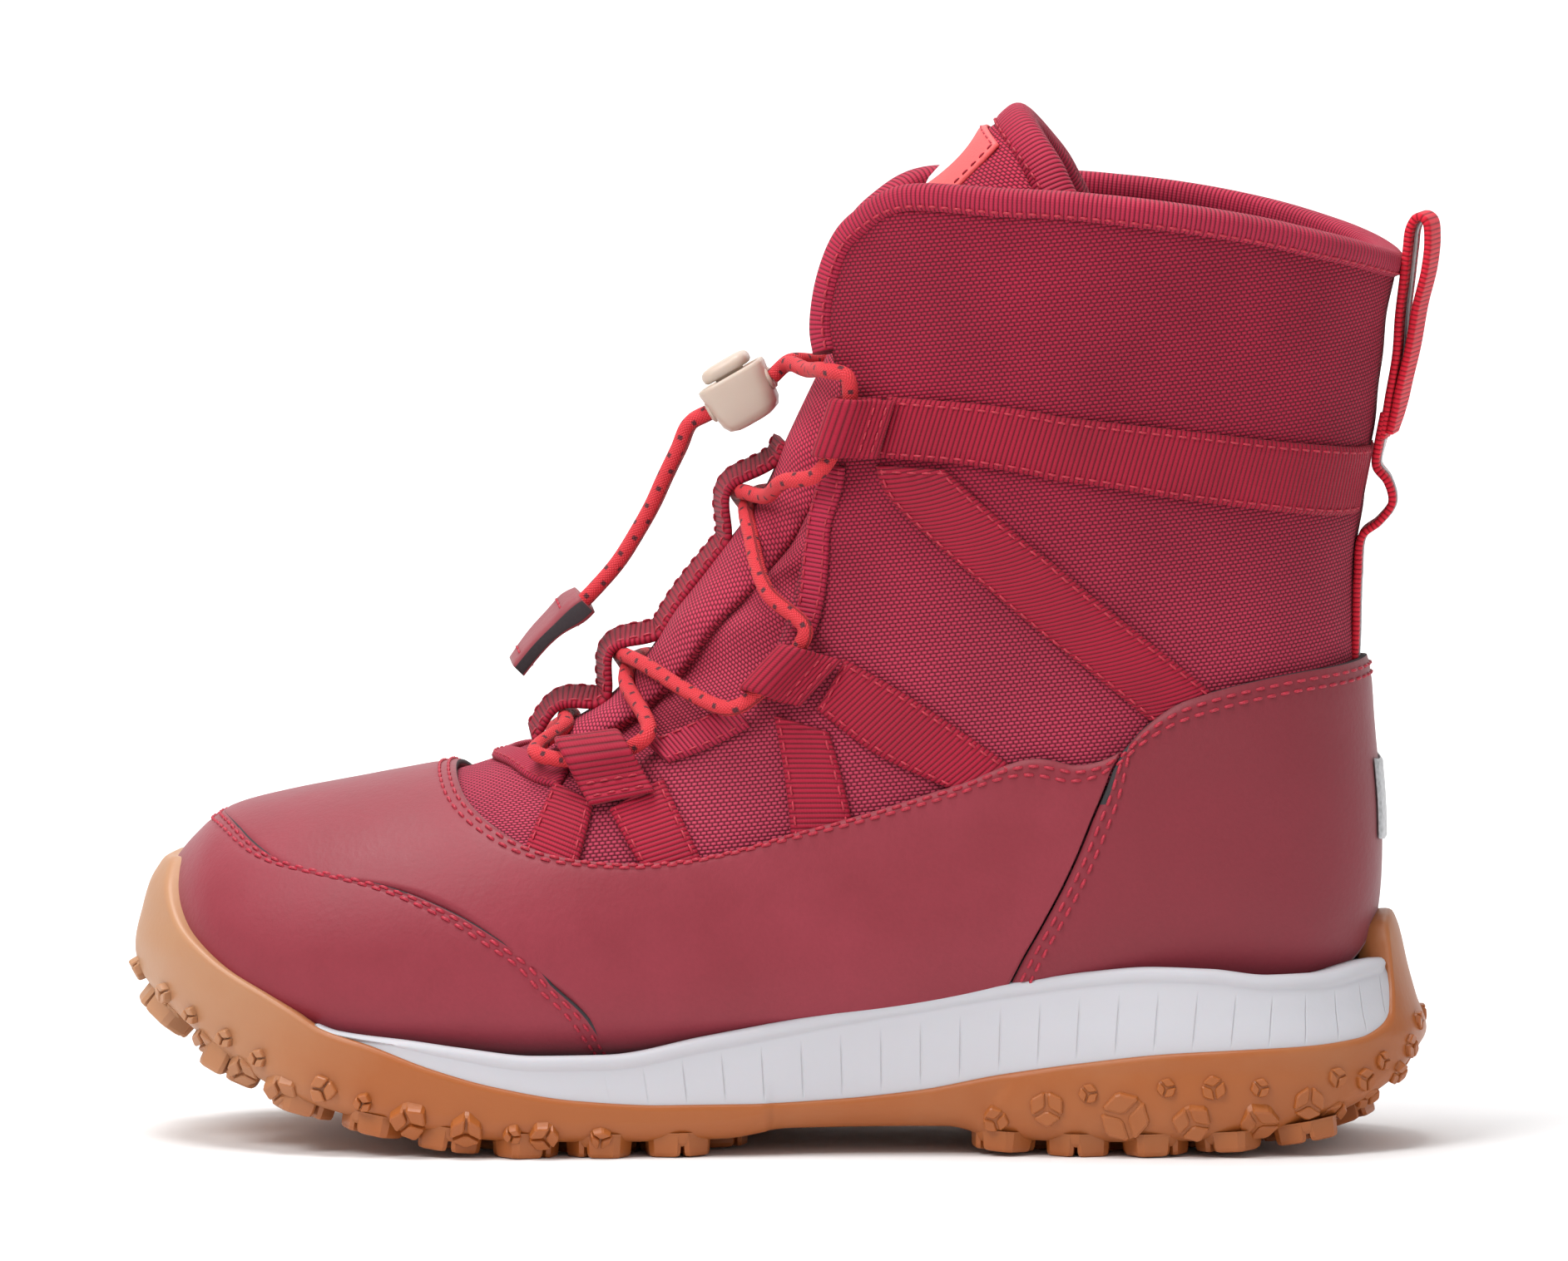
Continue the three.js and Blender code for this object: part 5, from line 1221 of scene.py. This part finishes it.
def tongue_webbing():
    s = np.linspace(0.008, 0.56, 260)
    rise = np.array([0.15 + WEBBING / 2 + arch_height(k) for k in s])
    line = resample(tongue(s, 0.0, rise), 240)
    tangent = unit(np.gradient(line, axis=0))
    flat = np.tile([0.0, 1.0, 0.0], (len(line), 1))
    face = unit(np.cross(tangent, flat))
    tilt = math.radians(13)
    across = flat * math.cos(tilt) + face * math.sin(tilt)
    up = face * math.cos(tilt) - flat * math.sin(tilt)
    webbing_along("tongue_webbing", line, across, up, TAPE, "boot")
    for e in (-3.9, 3.9):
        stitches.run(line + across * e + up * WEBBING / 2, up, 2.1, radius=0.2)


def gusset(name, side):
    """Soft cloth from the tongue's side to under the quarter's edge, falling in folds."""
    edge = evenly(place([(x + 3, z - 1) for x, z in THROAT]), 110)
    edge = side_of(edge, side)
    rows, columns = 111, 26
    b = np.linspace(0, 1, rows)
    s = 0.05 + (0.63 - 0.05) * b
    start = tongue(s, side * 0.86, -TONGUE_THICK / 2)
    stop = skin(edge[:, 0], edge[:, 1], -CANVAS - 0.5)
    out = unit(facing(skin, edge))
    a = np.linspace(0, 1, columns)[None, :, None]
    flat = start[:, None] * (1 - a) + stop[:, None] * a
    sag = 2.2 * np.sin(math.pi * a) * (0.35 + 0.65 * np.sin(b * 17.0 + 1.0)[:, None, None] ** 2)
    front = flat + out[:, None] * (sag - 0.2)
    back = front - out[:, None] * 0.55
    mm = lengths(front)
    node = f"gusset_{name}"
    make(node, both_sides(front, back), sheet_faces(rows, columns), TONGUE_CLOTH, node=node,
         uv=both_sides(mm, mm))


# ------------------------------------------------------------------ heel webbing
BACK_STRAP = [(91.2, 76.0), (91.4, 79.8), (91.7, 90), (92.4, 96.2), (95.0, 98.4), (97.1, 101.4),
              (96.4, 104.8), (94.7, 107.2), (95.1, 110.4), (96.3, 115.6)]
PULL_LOOP = [(95.7, 111.6), (96.6, 115.4), (97.3, 119), (98.3, 125), (98.7, 131), (99.4, 137), (99.9, 141.5),
             (100.4, 145), (101.6, 146.7), (102.9, 146), (103.3, 143), (102.8, 138.2), (101.4, 132.4),
             (100.3, 126), (99.0, 120.4), (97.9, 115.4), (97.0, 112.4)]


def heel_tape(name, points, count, body):
    """Red tape at the heel with a grey reflective line down its outer face."""
    line = evenly([(x, 0.0, z) for x, z in points], count)
    tangent = unit(np.gradient(line, axis=0))
    turn = math.radians(8) * np.clip((line[:, 2:] - 104) / 14, 0, 1)
    across = np.concatenate([np.sin(turn), np.cos(turn), 0 * turn], axis=1)
    up = unit(np.cross(tangent, across))
    tape = webbing_along(name, line, across, up, RED_TAPE, body)
    outer = -up if up[0][0] < 0 else up
    strip = tape_section(2.4, 0.3)
    shown = slice(2, len(line) - 2)
    centre = line[shown] + outer[shown] * (WEBBING / 2 + 0.05)
    stripe = make(f"{name}_reflective_line", sweep(centre, across[shown], outer[shown], strip),
                  ring_faces(len(centre), len(strip)), REFLECTOR, body)
    return tape, stripe


def pull_loop():
    """The pull loop: red tape whose two ends are sewn to the boot, with its reflective line."""
    for piece in heel_tape("pull_loop", PULL_LOOP, 180, None):
        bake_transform(piece)


def heel_reflector():
    grid = mesh_grid(u_back(48), u_back(60.5), 24, 0.945, 1.055, 20)
    low = UNDER_LEATHER + COUNTER + GAP
    cloth_panel("heel_reflector", skin, grid, low, low + 0.5, REFLECTOR, "heel_reflector", round_edge=0.3)


# ------------------------------------------------------------------ cord lock, lace and tab
LOCK = {"x": -5.6, "z": 117.2, "tilt": math.pi / 6, "length": 11.4, "bottom": -3.8, "top": 3.1, "depth": 13.0,
        "apart": 2.7}
HOLE_UP = 0.9
PRESS = 1.4
LOCK_ALONG = np.array([math.cos(LOCK["tilt"]), 0.0, math.sin(LOCK["tilt"])])
LOCK_UP = np.array([-math.sin(LOCK["tilt"]), 0.0, math.cos(LOCK["tilt"])])


def in_lock(a, y, h):
    """a along the cords, y across, h along the button's travel."""
    return np.array([LOCK["x"], 0, LOCK["z"]]) + LOCK_ALONG * a + LOCK_UP * h + np.array([0, y, 0])


def stacked(name, layers, sides, body, corner):
    """A moulded block from layers (h, half length a, half depth y), a rounded rectangle at each height."""
    rings = [[in_lock(p, q, h) for p, q in squared(sides, a, y, corner)] for h, a, y in layers]
    make(name, np.array(rings), ring_faces(len(rings), sides), IVORY, body, name)


def cord_lock():
    """The lock's hollow body, the rims of its four cord holes and its button."""
    half, bottom, top, deep = LOCK["length"] / 2, LOCK["bottom"], LOCK["top"], LOCK["depth"] / 2
    rim = top + PRESS
    layers = [(bottom - 0.2, half * 0.3, deep * 0.6), (bottom - 0.1, half * 0.5, deep * 0.8),
              (bottom + 0.4, half * 0.74, deep * 0.92), (bottom + 1.5, half * 0.86, deep * 0.97),
              (0.0, half * 0.92, deep), (top - 0.6, half * 0.97, deep), (rim - 0.7, half, deep),
              (rim - 0.15, half * 0.985, deep * 0.985), (rim, half * 0.94, deep * 0.96),
              (rim - 0.05, half * 0.86, deep * 0.94), (rim - 0.4, half * 0.83, deep * 0.925),
              (top + 0.2, half * 0.82, deep * 0.92), (top, half * 0.6, deep * 0.83),
              (top - 1, half * 0.5, deep * 0.8)]
    stacked("lock_body", layers, 64, "cord_lock", 0.42)
    for y in (-LOCK["apart"], LOCK["apart"]):
        for end in (-1, 1):
            points = [in_lock(end * (half - 0.75 + 0.25 * k), y, HOLE_UP) for k in range(4)]
            collar = np.array([1.95, 2.15, 2.1, 1.6]) / 2
            tube(f"lock_rim_{'lateral' if y < 0 else 'medial'}_{'back' if end > 0 else 'front'}", points, 1.0,
                 IVORY, 28, "cord_lock", scale=collar * 1.75)
    low = HOLE_UP + CORD / 2 + PRESS + 0.1
    head = rim + 0.3
    layers = [(low, 2.2, 4.9), (head, 2.3, 4.95), (head + 0.02, 3.6, 5.3), (head + 0.3, 4.0, 5.55),
              (head + 1.1, 4.1, 5.6), (head + 1.7, 3.9, 5.45), (head + 2.05, 3.4, 5.1),
              (head + 2.2, 2.6, 4.4), (head + 2.15, 1.2, 3.0)]
    stacked("lock_button", layers, 56, "button", 0.5)


def through_loop(index, side, upward):
    stops = [loop_point(index, side, q, e, LACE_UP + rise)
             for e, q, rise in ((-0.35, 0.5, 0.7), (0, 1.7, 0), (0.5, 1.8, 0), (1, 1.7, 0), (1.35, 0.5, 0.7))]
    return stops[::-1] if upward else stops


def through_arch(index, from_side, drop, high):
    low, up, _ = ARCHES[index]
    s = (low + up) / 2
    lift = CORD - 0.2 if high else 0
    return [tongue(s - drop * f, -from_side * f, CORD / 2 - 0.15 + lift * max(0, 1 - abs(f) * 1.2))
            for f in (-0.52, -0.22, 0, 0.22, 0.52)]


def lace():
    """One cord from the lock through every loop and arch and back to the lock."""
    def leave(y):
        return [in_lock(LOCK["length"] / 2 + 0.2, y, HOLE_UP),
                in_lock(LOCK["length"] / 2 + 3, y * 1.15, HOLE_UP + 0.6)]

    def reach(side):
        return [np.array([5, side * 11, 122.6]), over(side, 10.6, 123.4, LACE_UP)]

    def past(side, x, z):
        return [over(side, x, z, LACE_UP + 0.3)]
    apart = LOCK["apart"]
    stops = [
        *leave(-apart), *reach(-1),
        *through_loop(0, -1, False), *past(-1, 4.2, 105.4), *through_arch(0, -1, 0.05, True),
        *past(1, 1.3, 87.4), *through_loop(1, 1, False), *through_arch(1, 1, 0.03, False),
        *through_loop(2, -1, False), *through_arch(2, -1, 0, False),
        *through_loop(2, 1, True), *through_arch(1, 1, -0.03, True),
        *through_loop(1, -1, True), *past(-1, 1.3, 87.4), *through_arch(0, -1, -0.05, False),
        *past(1, 4.2, 105.4), *through_loop(0, 1, True), *reach(1)[::-1], *leave(apart)[::-1],
    ]
    tube("lace", evenly(stops, 900), CORD / 2, LACE_CORD, 16, node="lace")


TAIL = [(-15.9, 109.4), (-18.2, 104.6), (-20, 100.6), (-22.2, 96.6), (-25.6, 91.2), (-29.2, 87),
        (-31.2, 84.9)]


def tail_line(side):
    y = side * LOCK["apart"]
    half = LOCK["length"] / 2
    points = [in_lock(a, y, HOLE_UP) for a in (half - 0.4, 0, -half, -half - 3.6)]
    points += [np.array([x, y - side * min(i, 4) * 0.28, z]) for i, (x, z) in enumerate(TAIL)]
    return evenly(points, 150)


def lace_tab():
    """The folded leather tab on the ends of both tails, and its stitches."""
    along = unit(np.array([-0.71, 0.0, -0.70]))
    flat = np.array([0.0, 1.0, 0.0])
    rise = np.cross(along, flat)
    rise = rise if rise[0] < 0 else -rise
    twist = math.radians(15)
    across = flat * math.cos(twist) + rise * math.sin(twist)
    up = rise * math.cos(twist) - flat * math.sin(twist)
    start = np.array([-30.9, 0.0, 85.2])
    reach = 15.2
    bow = 0.88
    sides = 40

    def centre(d):
        return start + along * reach * d + up * bow * math.sin(math.pi * d)

    def half_thick(d):
        return 1.4 + 0.8 * math.exp(-((d - 0.12) / 0.2) ** 2)
    rings = []
    for d in np.linspace(0, 1, 26):
        wide = 4.5 - 1.5 * d * d - 0.7 * math.exp(-(d / 0.12) ** 2)
        section = squared(sides, wide, half_thick(d), 0.35, 0.4)
        rings.append(centre(d) + section[:, :1] * across + section[:, 1:] * up)
    edge = np.abs(np.cos(np.arange(sides + 1) * 2 * math.pi / sides)) > 0.9
    parts = [int(edge[k] and edge[k + 1]) for k in range(sides)] * (len(rings) - 1) + [0, 1]
    tab = make("lace_tab", np.array(rings), ring_faces(len(rings), sides), [TAB_FACE, CUT_EDGE],
               node="lace_tab", parts=parts)
    thread = Thread()
    for face in (-1, 1):
        for d in (0.22, 0.86):
            row = [centre(d) + up * face * half_thick(d) + across * w * (1 - 0.3 * d)
                   for w in np.linspace(-3.2, 3.2, 8)]
            thread.run(np.array(row), np.tile(up * face, (8, 1)), 1.6, radius=0.22)
    return tab, thread.finish("lace_tab_stitches", THREAD)


def tails():
    """The two free ends of the cord, which carry the tab."""
    tab, seam = lace_tab()
    for name, side in SIDES:
        line = tail_line(side)
        node = f"tail_{name}"
        made = tube(node, line, CORD / 2, LACE_CORD, 16, node=node)


# ------------------------------------------------------------------ the sole
SOLE_HALF = [(-102.6, 4), (-101.6, 10), (-99, 17.5), (-95, 24), (-89, 29.5), (-80, 34), (-74, 36),
             (-68, 37.4), (-62, 38.4), (-52, 39.4), (-36, 39), (-18, 36), (0, 32.6), (16, 30.4),
             (32, 29.8), (48, 30.6),
             (64, 31.2), (76, 30.4), (85, 27.6), (92, 23), (96.4, 18.2), (100, 12.5), (101.8, 7), (102.5, 3)]
PLATE_BOTTOM = smooth_table([(-103, 26), (-100, 22.6), (-96, 18.8), (-89, 14.6), (-80, 10.4), (-70, 7.2),
                             (-60, 5), (-50, 3.5), (-42, 2.7), (-20, 2.4), (-6, 2.7), (4, 4.2),
                             (28, 4.4), (36, 2.6), (50, 2.2), (70, 2.6), (84, 4.0), (93, 6.8),
                             (99, 10.4), (103, 15)])
TREAD = smooth_table([(-103, 24), (-97.5, 18.4), (-88.8, 12.6), (-82, 9.2), (-71, 5.4), (-60, 3), (-48, 0.8),
                      (-37, 0), (-18, 0), (-3, 0.6), (35, 0.8), (44, 0), (55, 0), (69, 0.8), (81, 2.1),
                      (91.8, 5), (99.7, 10.5), (103, 15)])
GUM_TOP = smooth_table([(-103, 44), (-101.6, 44.4), (-99.8, 42.2), (-98.4, 40), (-96.7, 37.6), (-94, 34.6),
                        (-91.2, 32.4), (-85.7, 28.6), (-80, 25.6), (-75, 22.9), (-70, 20), (-62.2, 17.6),
                        (-53, 14.3), (-42.4, 11.4), (-29.2, 9.2), (-16, 8.4), (-3, 8.4), (10.3, 9),
                        (23.5, 10.4),
                        (36.7, 13), (50, 15), (63, 16.5), (76, 17.2), (86, 17.6), (93.4, 18.4),
                        (96.4, 19.6), (98.6, 21.5), (99.8, 25), (100.6, 30), (101.2, 35), (103, 37.2)])
MIDSOLE_TOP = smooth_table([(-72, 21), (-68, 19.7), (-55.7, 18.4), (-47.8, 17.4), (-36, 16.2), (-24.7, 16.3),
                            (-9.6, 19), (10.2, 22.7), (23.4, 24.9), (37.2, 27.3), (49.7, 29.1), (60.3, 30),
                            (69.5, 29.7), (80, 28.6), (88, 28.6), (98, 30)])
TOE_LEAN = smooth_table([(8, 7), (14, 5), (20, 2.4), (26, 0.3), (30, 0), (36, 1.2), (40, 2.4), (43, 4.2),
                         (46, 6.4)])
HEEL_LEAN = smooth_table([(3, 4.5), (8, 1.6), (13, 0.2), (18, 0), (23, 1.6), (28, 3), (34, 4.4), (37, 5.6)])


def lean_at(x, z):
    toe = TOE_LEAN(z) * np.clip((-76 - x) / 22, 0, 1)
    heel = HEEL_LEAN(z) * np.clip((x - 60) / 30, 0.25, 1)
    return np.where(x < 0, toe, heel)


def ramp(value, length):
    """0 below zero, 1 above length, straight in between."""
    return min(max(value / length, 0), 1)


def heel_block(x, z):
    """The heel's rubber stands out below, behind a slanting front."""
    return 0.8 * ramp(x - 30.5 - (z - 2.3) * 0.73, 1.6) * ramp(13.5 - z, 6)


OUTLINE_STEPS = 300
OUTLINE = evenly([(-102.9, 0.0), *SOLE_HALF, (102.7, 0.0)], OUTLINE_STEPS)
OUTLINE_OUT = np.gradient(OUTLINE, axis=0)
OUTLINE_OUT = unit(np.stack([-OUTLINE_OUT[:, 1], OUTLINE_OUT[:, 0]], axis=1))
OUTLINE_RUN = travelled(OUTLINE)


def wall(index, side, z, inset=0.0):
    """A point of the sole's wall: outline step, side (-1 lateral), height, and how far inside it."""
    x, half = OUTLINE[index]
    nx, ny = OUTLINE_OUT[index]
    away = lean_at(x, z) + inset - heel_block(x, z)
    px = x - nx * away
    py = max(half - ny * away, 0.0)
    return np.array([px, side * py + bend(px), z])


def sole_ring(index, profile, steps):
    """Round one slice: up the medial wall, over the rim, across and down the lateral wall."""
    up = [wall(index, 1, z, inset) for z, inset in profile]
    down = [wall(index, -1, z, inset) for z, inset in profile[::-1]]

    def across(p, q):
        return [p * (1 - k / steps) + q * (k / steps) for k in range(1, steps)]
    return [*up, *across(up[-1], down[0]), *down, *across(down[-1], up[0])]


def outsole():
    """The gum moulding: a rounded lower edge, a wall and a thin lip, slice by slice along the sole."""
    corner = 3.4
    rings, marks = [], []
    for i in range(OUTLINE_STEPS + 1):
        x = OUTLINE[i][0]
        low, top = float(PLATE_BOTTOM(x)), float(GUM_TOP(x))
        top = max(top, low + 3.6)
        r = min(corner, (top - low) * 0.7)
        profile = [(low + r * (1 - math.cos(a)), r * (1 - math.sin(a)))
                   for a in np.linspace(0.05, math.pi / 2, 8)]
        profile += [(z, 0.0) for z in np.linspace(low + r, top - 0.9, 22)[1:]]
        tip = ramp(abs(x) - 60, 30)
        profile += [(top - 0.35, 0.12), (top - 0.08, 0.5), (top, 1.0), (top - 0.1, 1.6 + 1.5 * tip),
                    (top - 0.6, 2.1 + 3.4 * tip), (top - 2.5, 2.4 + 3.6 * tip)]
        rings.append(sole_ring(i, profile, 14))
        marks.append([(OUTLINE_RUN[i], p[2]) for p in rings[-1]])
    make("outsole", np.array(rings), ring_faces(len(rings), len(rings[0]), False), GUM, node="outsole",
         uv=np.array(marks))


def midsole():
    """The foam between the gum and the upper."""
    first = int(np.argmax(OUTLINE[:, 0] > -71.5))
    last = int(np.argmax(OUTLINE[:, 0] > 100.4))
    rings, marks = [], []
    for i in range(first, last):
        x = OUTLINE[i][0]
        low = float(GUM_TOP(x)) - 0.6
        top = max(float(MIDSOLE_TOP(x)), low + 0.7)
        ledge = min(2.2, (top - low) * 0.35)
        profile = [(z, 0.75 + 0.35 * math.sin(math.pi * k / 2)) for k, z in
                   zip(np.linspace(0, 1, 18), np.linspace(low, top - ledge, 18))]
        profile += [(top - ledge + 0.25, 0.78), (top - 0.8, 0.8), (top - 0.35, 0.95), (top - 0.08, 1.35),
                    (top, 1.9), (top - 0.1, 3.2), (top - 0.6, 6.4)]
        rings.append(sole_ring(i, profile, 4))
        marks.append([(OUTLINE_RUN[i], 10 * (p[2] - low) / (top - low)) for p in rings[-1]])
    make("midsole", np.array(rings), ring_faces(len(rings), len(rings[0])), FOAM, node="midsole",
         uv=np.array(marks))


class Lugs:
    """Tread lugs: six-sided blocks parted by a groove from the middle to every second corner."""

    def __init__(self):
        self.points, self.faces = [], []

    def add(self, centre, out, up, radius, height, turn=0.0):
        out = unit(np.asarray(out, float))
        a = unit(np.cross(up, out))
        b = np.cross(out, a)
        corner = [np.array([math.cos(turn + k * math.pi / 3), math.sin(turn + k * math.pi / 3)]) * radius
                  * (1 + 0.1 * math.sin(3.1 * k + radius * 7)) for k in range(6)]
        for k in (0, 2, 4):
            lobe = [np.zeros(2), corner[k], corner[(k + 1) % 6], corner[(k + 2) % 6]]
            middle = sum(lobe) / 4
            self.block([middle + (p - middle) * 0.86 for p in lobe], centre, out, a, b, -1.5, height)
        self.block([p * 0.9 for p in corner], centre, out, a, b, -1.5, height * 0.35)

    def block(self, outline, centre, out, a, b, low, high):
        middle = sum(outline) / len(outline)
        n = len(outline) * 2
        start = len(self.points)
        for height, size in ((low, 1.1), (high - 0.7, 1.0), (high - 0.2, 0.93), (high, 0.74)):
            for k, p in enumerate(outline):
                q = outline[(k + 1) % len(outline)]
                for f in (0.14, 0.86):
                    flat = middle + (p * (1 - f) + q * f - middle) * size
                    self.points.append(centre + a * flat[0] + b * flat[1] + out * height)
        self.faces += [[start + v for v in face] for face in ring_faces(4, n)]


TOE_IN = 2.6                                 # toe lugs stand this far in, and root this deep in the gum


def under_lugs(lugs):
    rows = ((5.4, 5.9, 11.8), (16.2, 5.6, 11.8), (26.8, 5.4, 11.8))
    done = []
    for row, (inset, radius, pitch) in enumerate(rows):
        for x0, x1 in ((-97, -4), (37, 92)):
            for x in np.arange(x0 + (row % 2) * pitch / 2, x1 + 0.01, pitch):
                half = float(np.interp(x, *np.array(SOLE_HALF).T)) - inset - TOE_IN * ramp(-66 - x, 20)
                low = float(TREAD(x))
                if half < 4 or any(math.hypot(x - a, half - b) < 0.93 * (radius + r) for a, b, r in done):
                    continue
                done.append((x, half, radius))
                slope = (float(PLATE_BOTTOM(x + 2)) - float(PLATE_BOTTOM(x - 2))) / 4
                root = TOE_IN * ramp(-68 - x, 10)
                plate = float(PLATE_BOTTOM(x))
                for side in (-1, 1):
                    centre = np.array([x - slope * root, side * half + bend(x), plate + root])
                    lugs.add(centre, (slope, 0, -1), (1, 0, 0), radius, max(plate - low, 1.8) + root, 0.5 + x)


# Lugs on the wall round the heel and the toe: place along the sole, height, radius.
HEEL_LUGS = [(36, 5.9, 2.4), (44.3, 7.8, 3.2), (50.5, 10.2, 1.8), (56, 6.6, 4.5), (62.6, 11.2, 1.8),
             (66.9, 5.7, 3.5), (70.4, 11.2, 2.3), (77.5, 11.2, 1.8), (77.8, 5.5, 3.7), (84.9, 8.5, 3.1),
             (89.3, 12.4, 1.9), (90.2, 6.6, 2.9), (93.8, 11.7, 2.2), (96.4, 14.4, 1.8), (95.8, 8.6, 2.6),
             (99, 12, 2.3), (100.4, 16, 2.3), (102, 19.6, 1.8)]
TOE_LUGS = [(-101.9, 26.7, 2.2), (-98.6, 21.4, 2.6), (-96.5, 24, 1.9), (-92.6, 21, 1.6), (-91.9, 16.8, 3),
            (-86.7, 17.8, 1.7), (-84.2, 12.8, 3.1), (-80.8, 15, 1.7), (-76.6, 10, 3.3), (-69.6, 10.6, 2.5),
            (-63.2, 8.8, 1.7), (-56, 6, 3.4), (-46.8, 4.6, 3.1), (-39.1, 4.2, 1.7), (-34.4, 3.8, 2.7),
            (-25.4, 3.6, 2)]


def wall_lugs(lugs):
    for x, z, radius in HEEL_LUGS + TOE_LUGS:
        index = int(np.argmin(np.abs(OUTLINE[:, 0] - x)))
        nx, ny = OUTLINE_OUT[index]
        drop = z - float(PLATE_BOTTOM(x))
        inset = 3.4 * (1 - math.sqrt(max(0.0, 1 - (1 - min(drop / 3.4, 1)) ** 2)))
        tip = math.sqrt(max(0.0, 1 - min(drop / 3.4, 1))) * 0.8
        for side in (-1, 1):
            centre = wall(index, side, z, inset)
            slope = (wall(index, side, z + 1) - wall(index, side, z - 1)) * side
            out = unit(np.array([nx, side * ny, -tip + (-slope[1] * 0.4)]))
            lugs.add(centre, out, (0, 0, 1), radius, 1.25 if x < 0 else 0.65, 0.5 + radius)


def heel_badge():
    """Small raised plate on the back of the gum heel."""
    z, y = np.moveaxis(mesh_grid(26, 33, 16, -3.5, 3.5, 12), -1, 0)
    back = np.stack([101.2 - HEEL_LEAN(z) * 0.96 - y ** 2 * 0.02, y, z], axis=-1)
    d = np.minimum.reduce([z - 26, 33 - z, y + 3.5, 3.5 - y])
    front = back + np.array([0.9, 0, 0.25]) * (1 - edge_profile(d, 0.6) / 0.9)[..., None]
    make("heel_badge", both_sides(front, back), sheet_faces(16, 12), BADGE, node="heel_badge")


# ------------------------------------------------------------------ assembly
lace()
tails()
cord_lock()
outsole()
midsole()
tread = Lugs()
under_lugs(tread)
wall_lugs(tread)
make("outsole_lugs", np.array(tread.points), tread.faces, GUM, smooth=False)
heel_badge()
footbed()
lining()
vamp_canvas()
toe_cap()
vamp_overlay()
counter_overlay()
collar_binding()
tongue_body()
tongue_top()
tongue_binding()
tongue_label()
tongue_webbing()
for side_name, side_sign in SIDES:
    quarter(side_name, side_sign)
    gusset(side_name, side_sign)
    for which in TRIMS:
        trim(which, side_name, side_sign)
    for strap_index in range(len(STRAPS)):
        strap(strap_index, side_name, side_sign)
    for loop_index in range(len(LOOPS)):
        lace_loop(loop_index, side_name, side_sign)
heel_tape("back_strap", BACK_STRAP, 120, "boot")
pull_loop()
heel_reflector()
stitches.finish("stitching", THREAD)
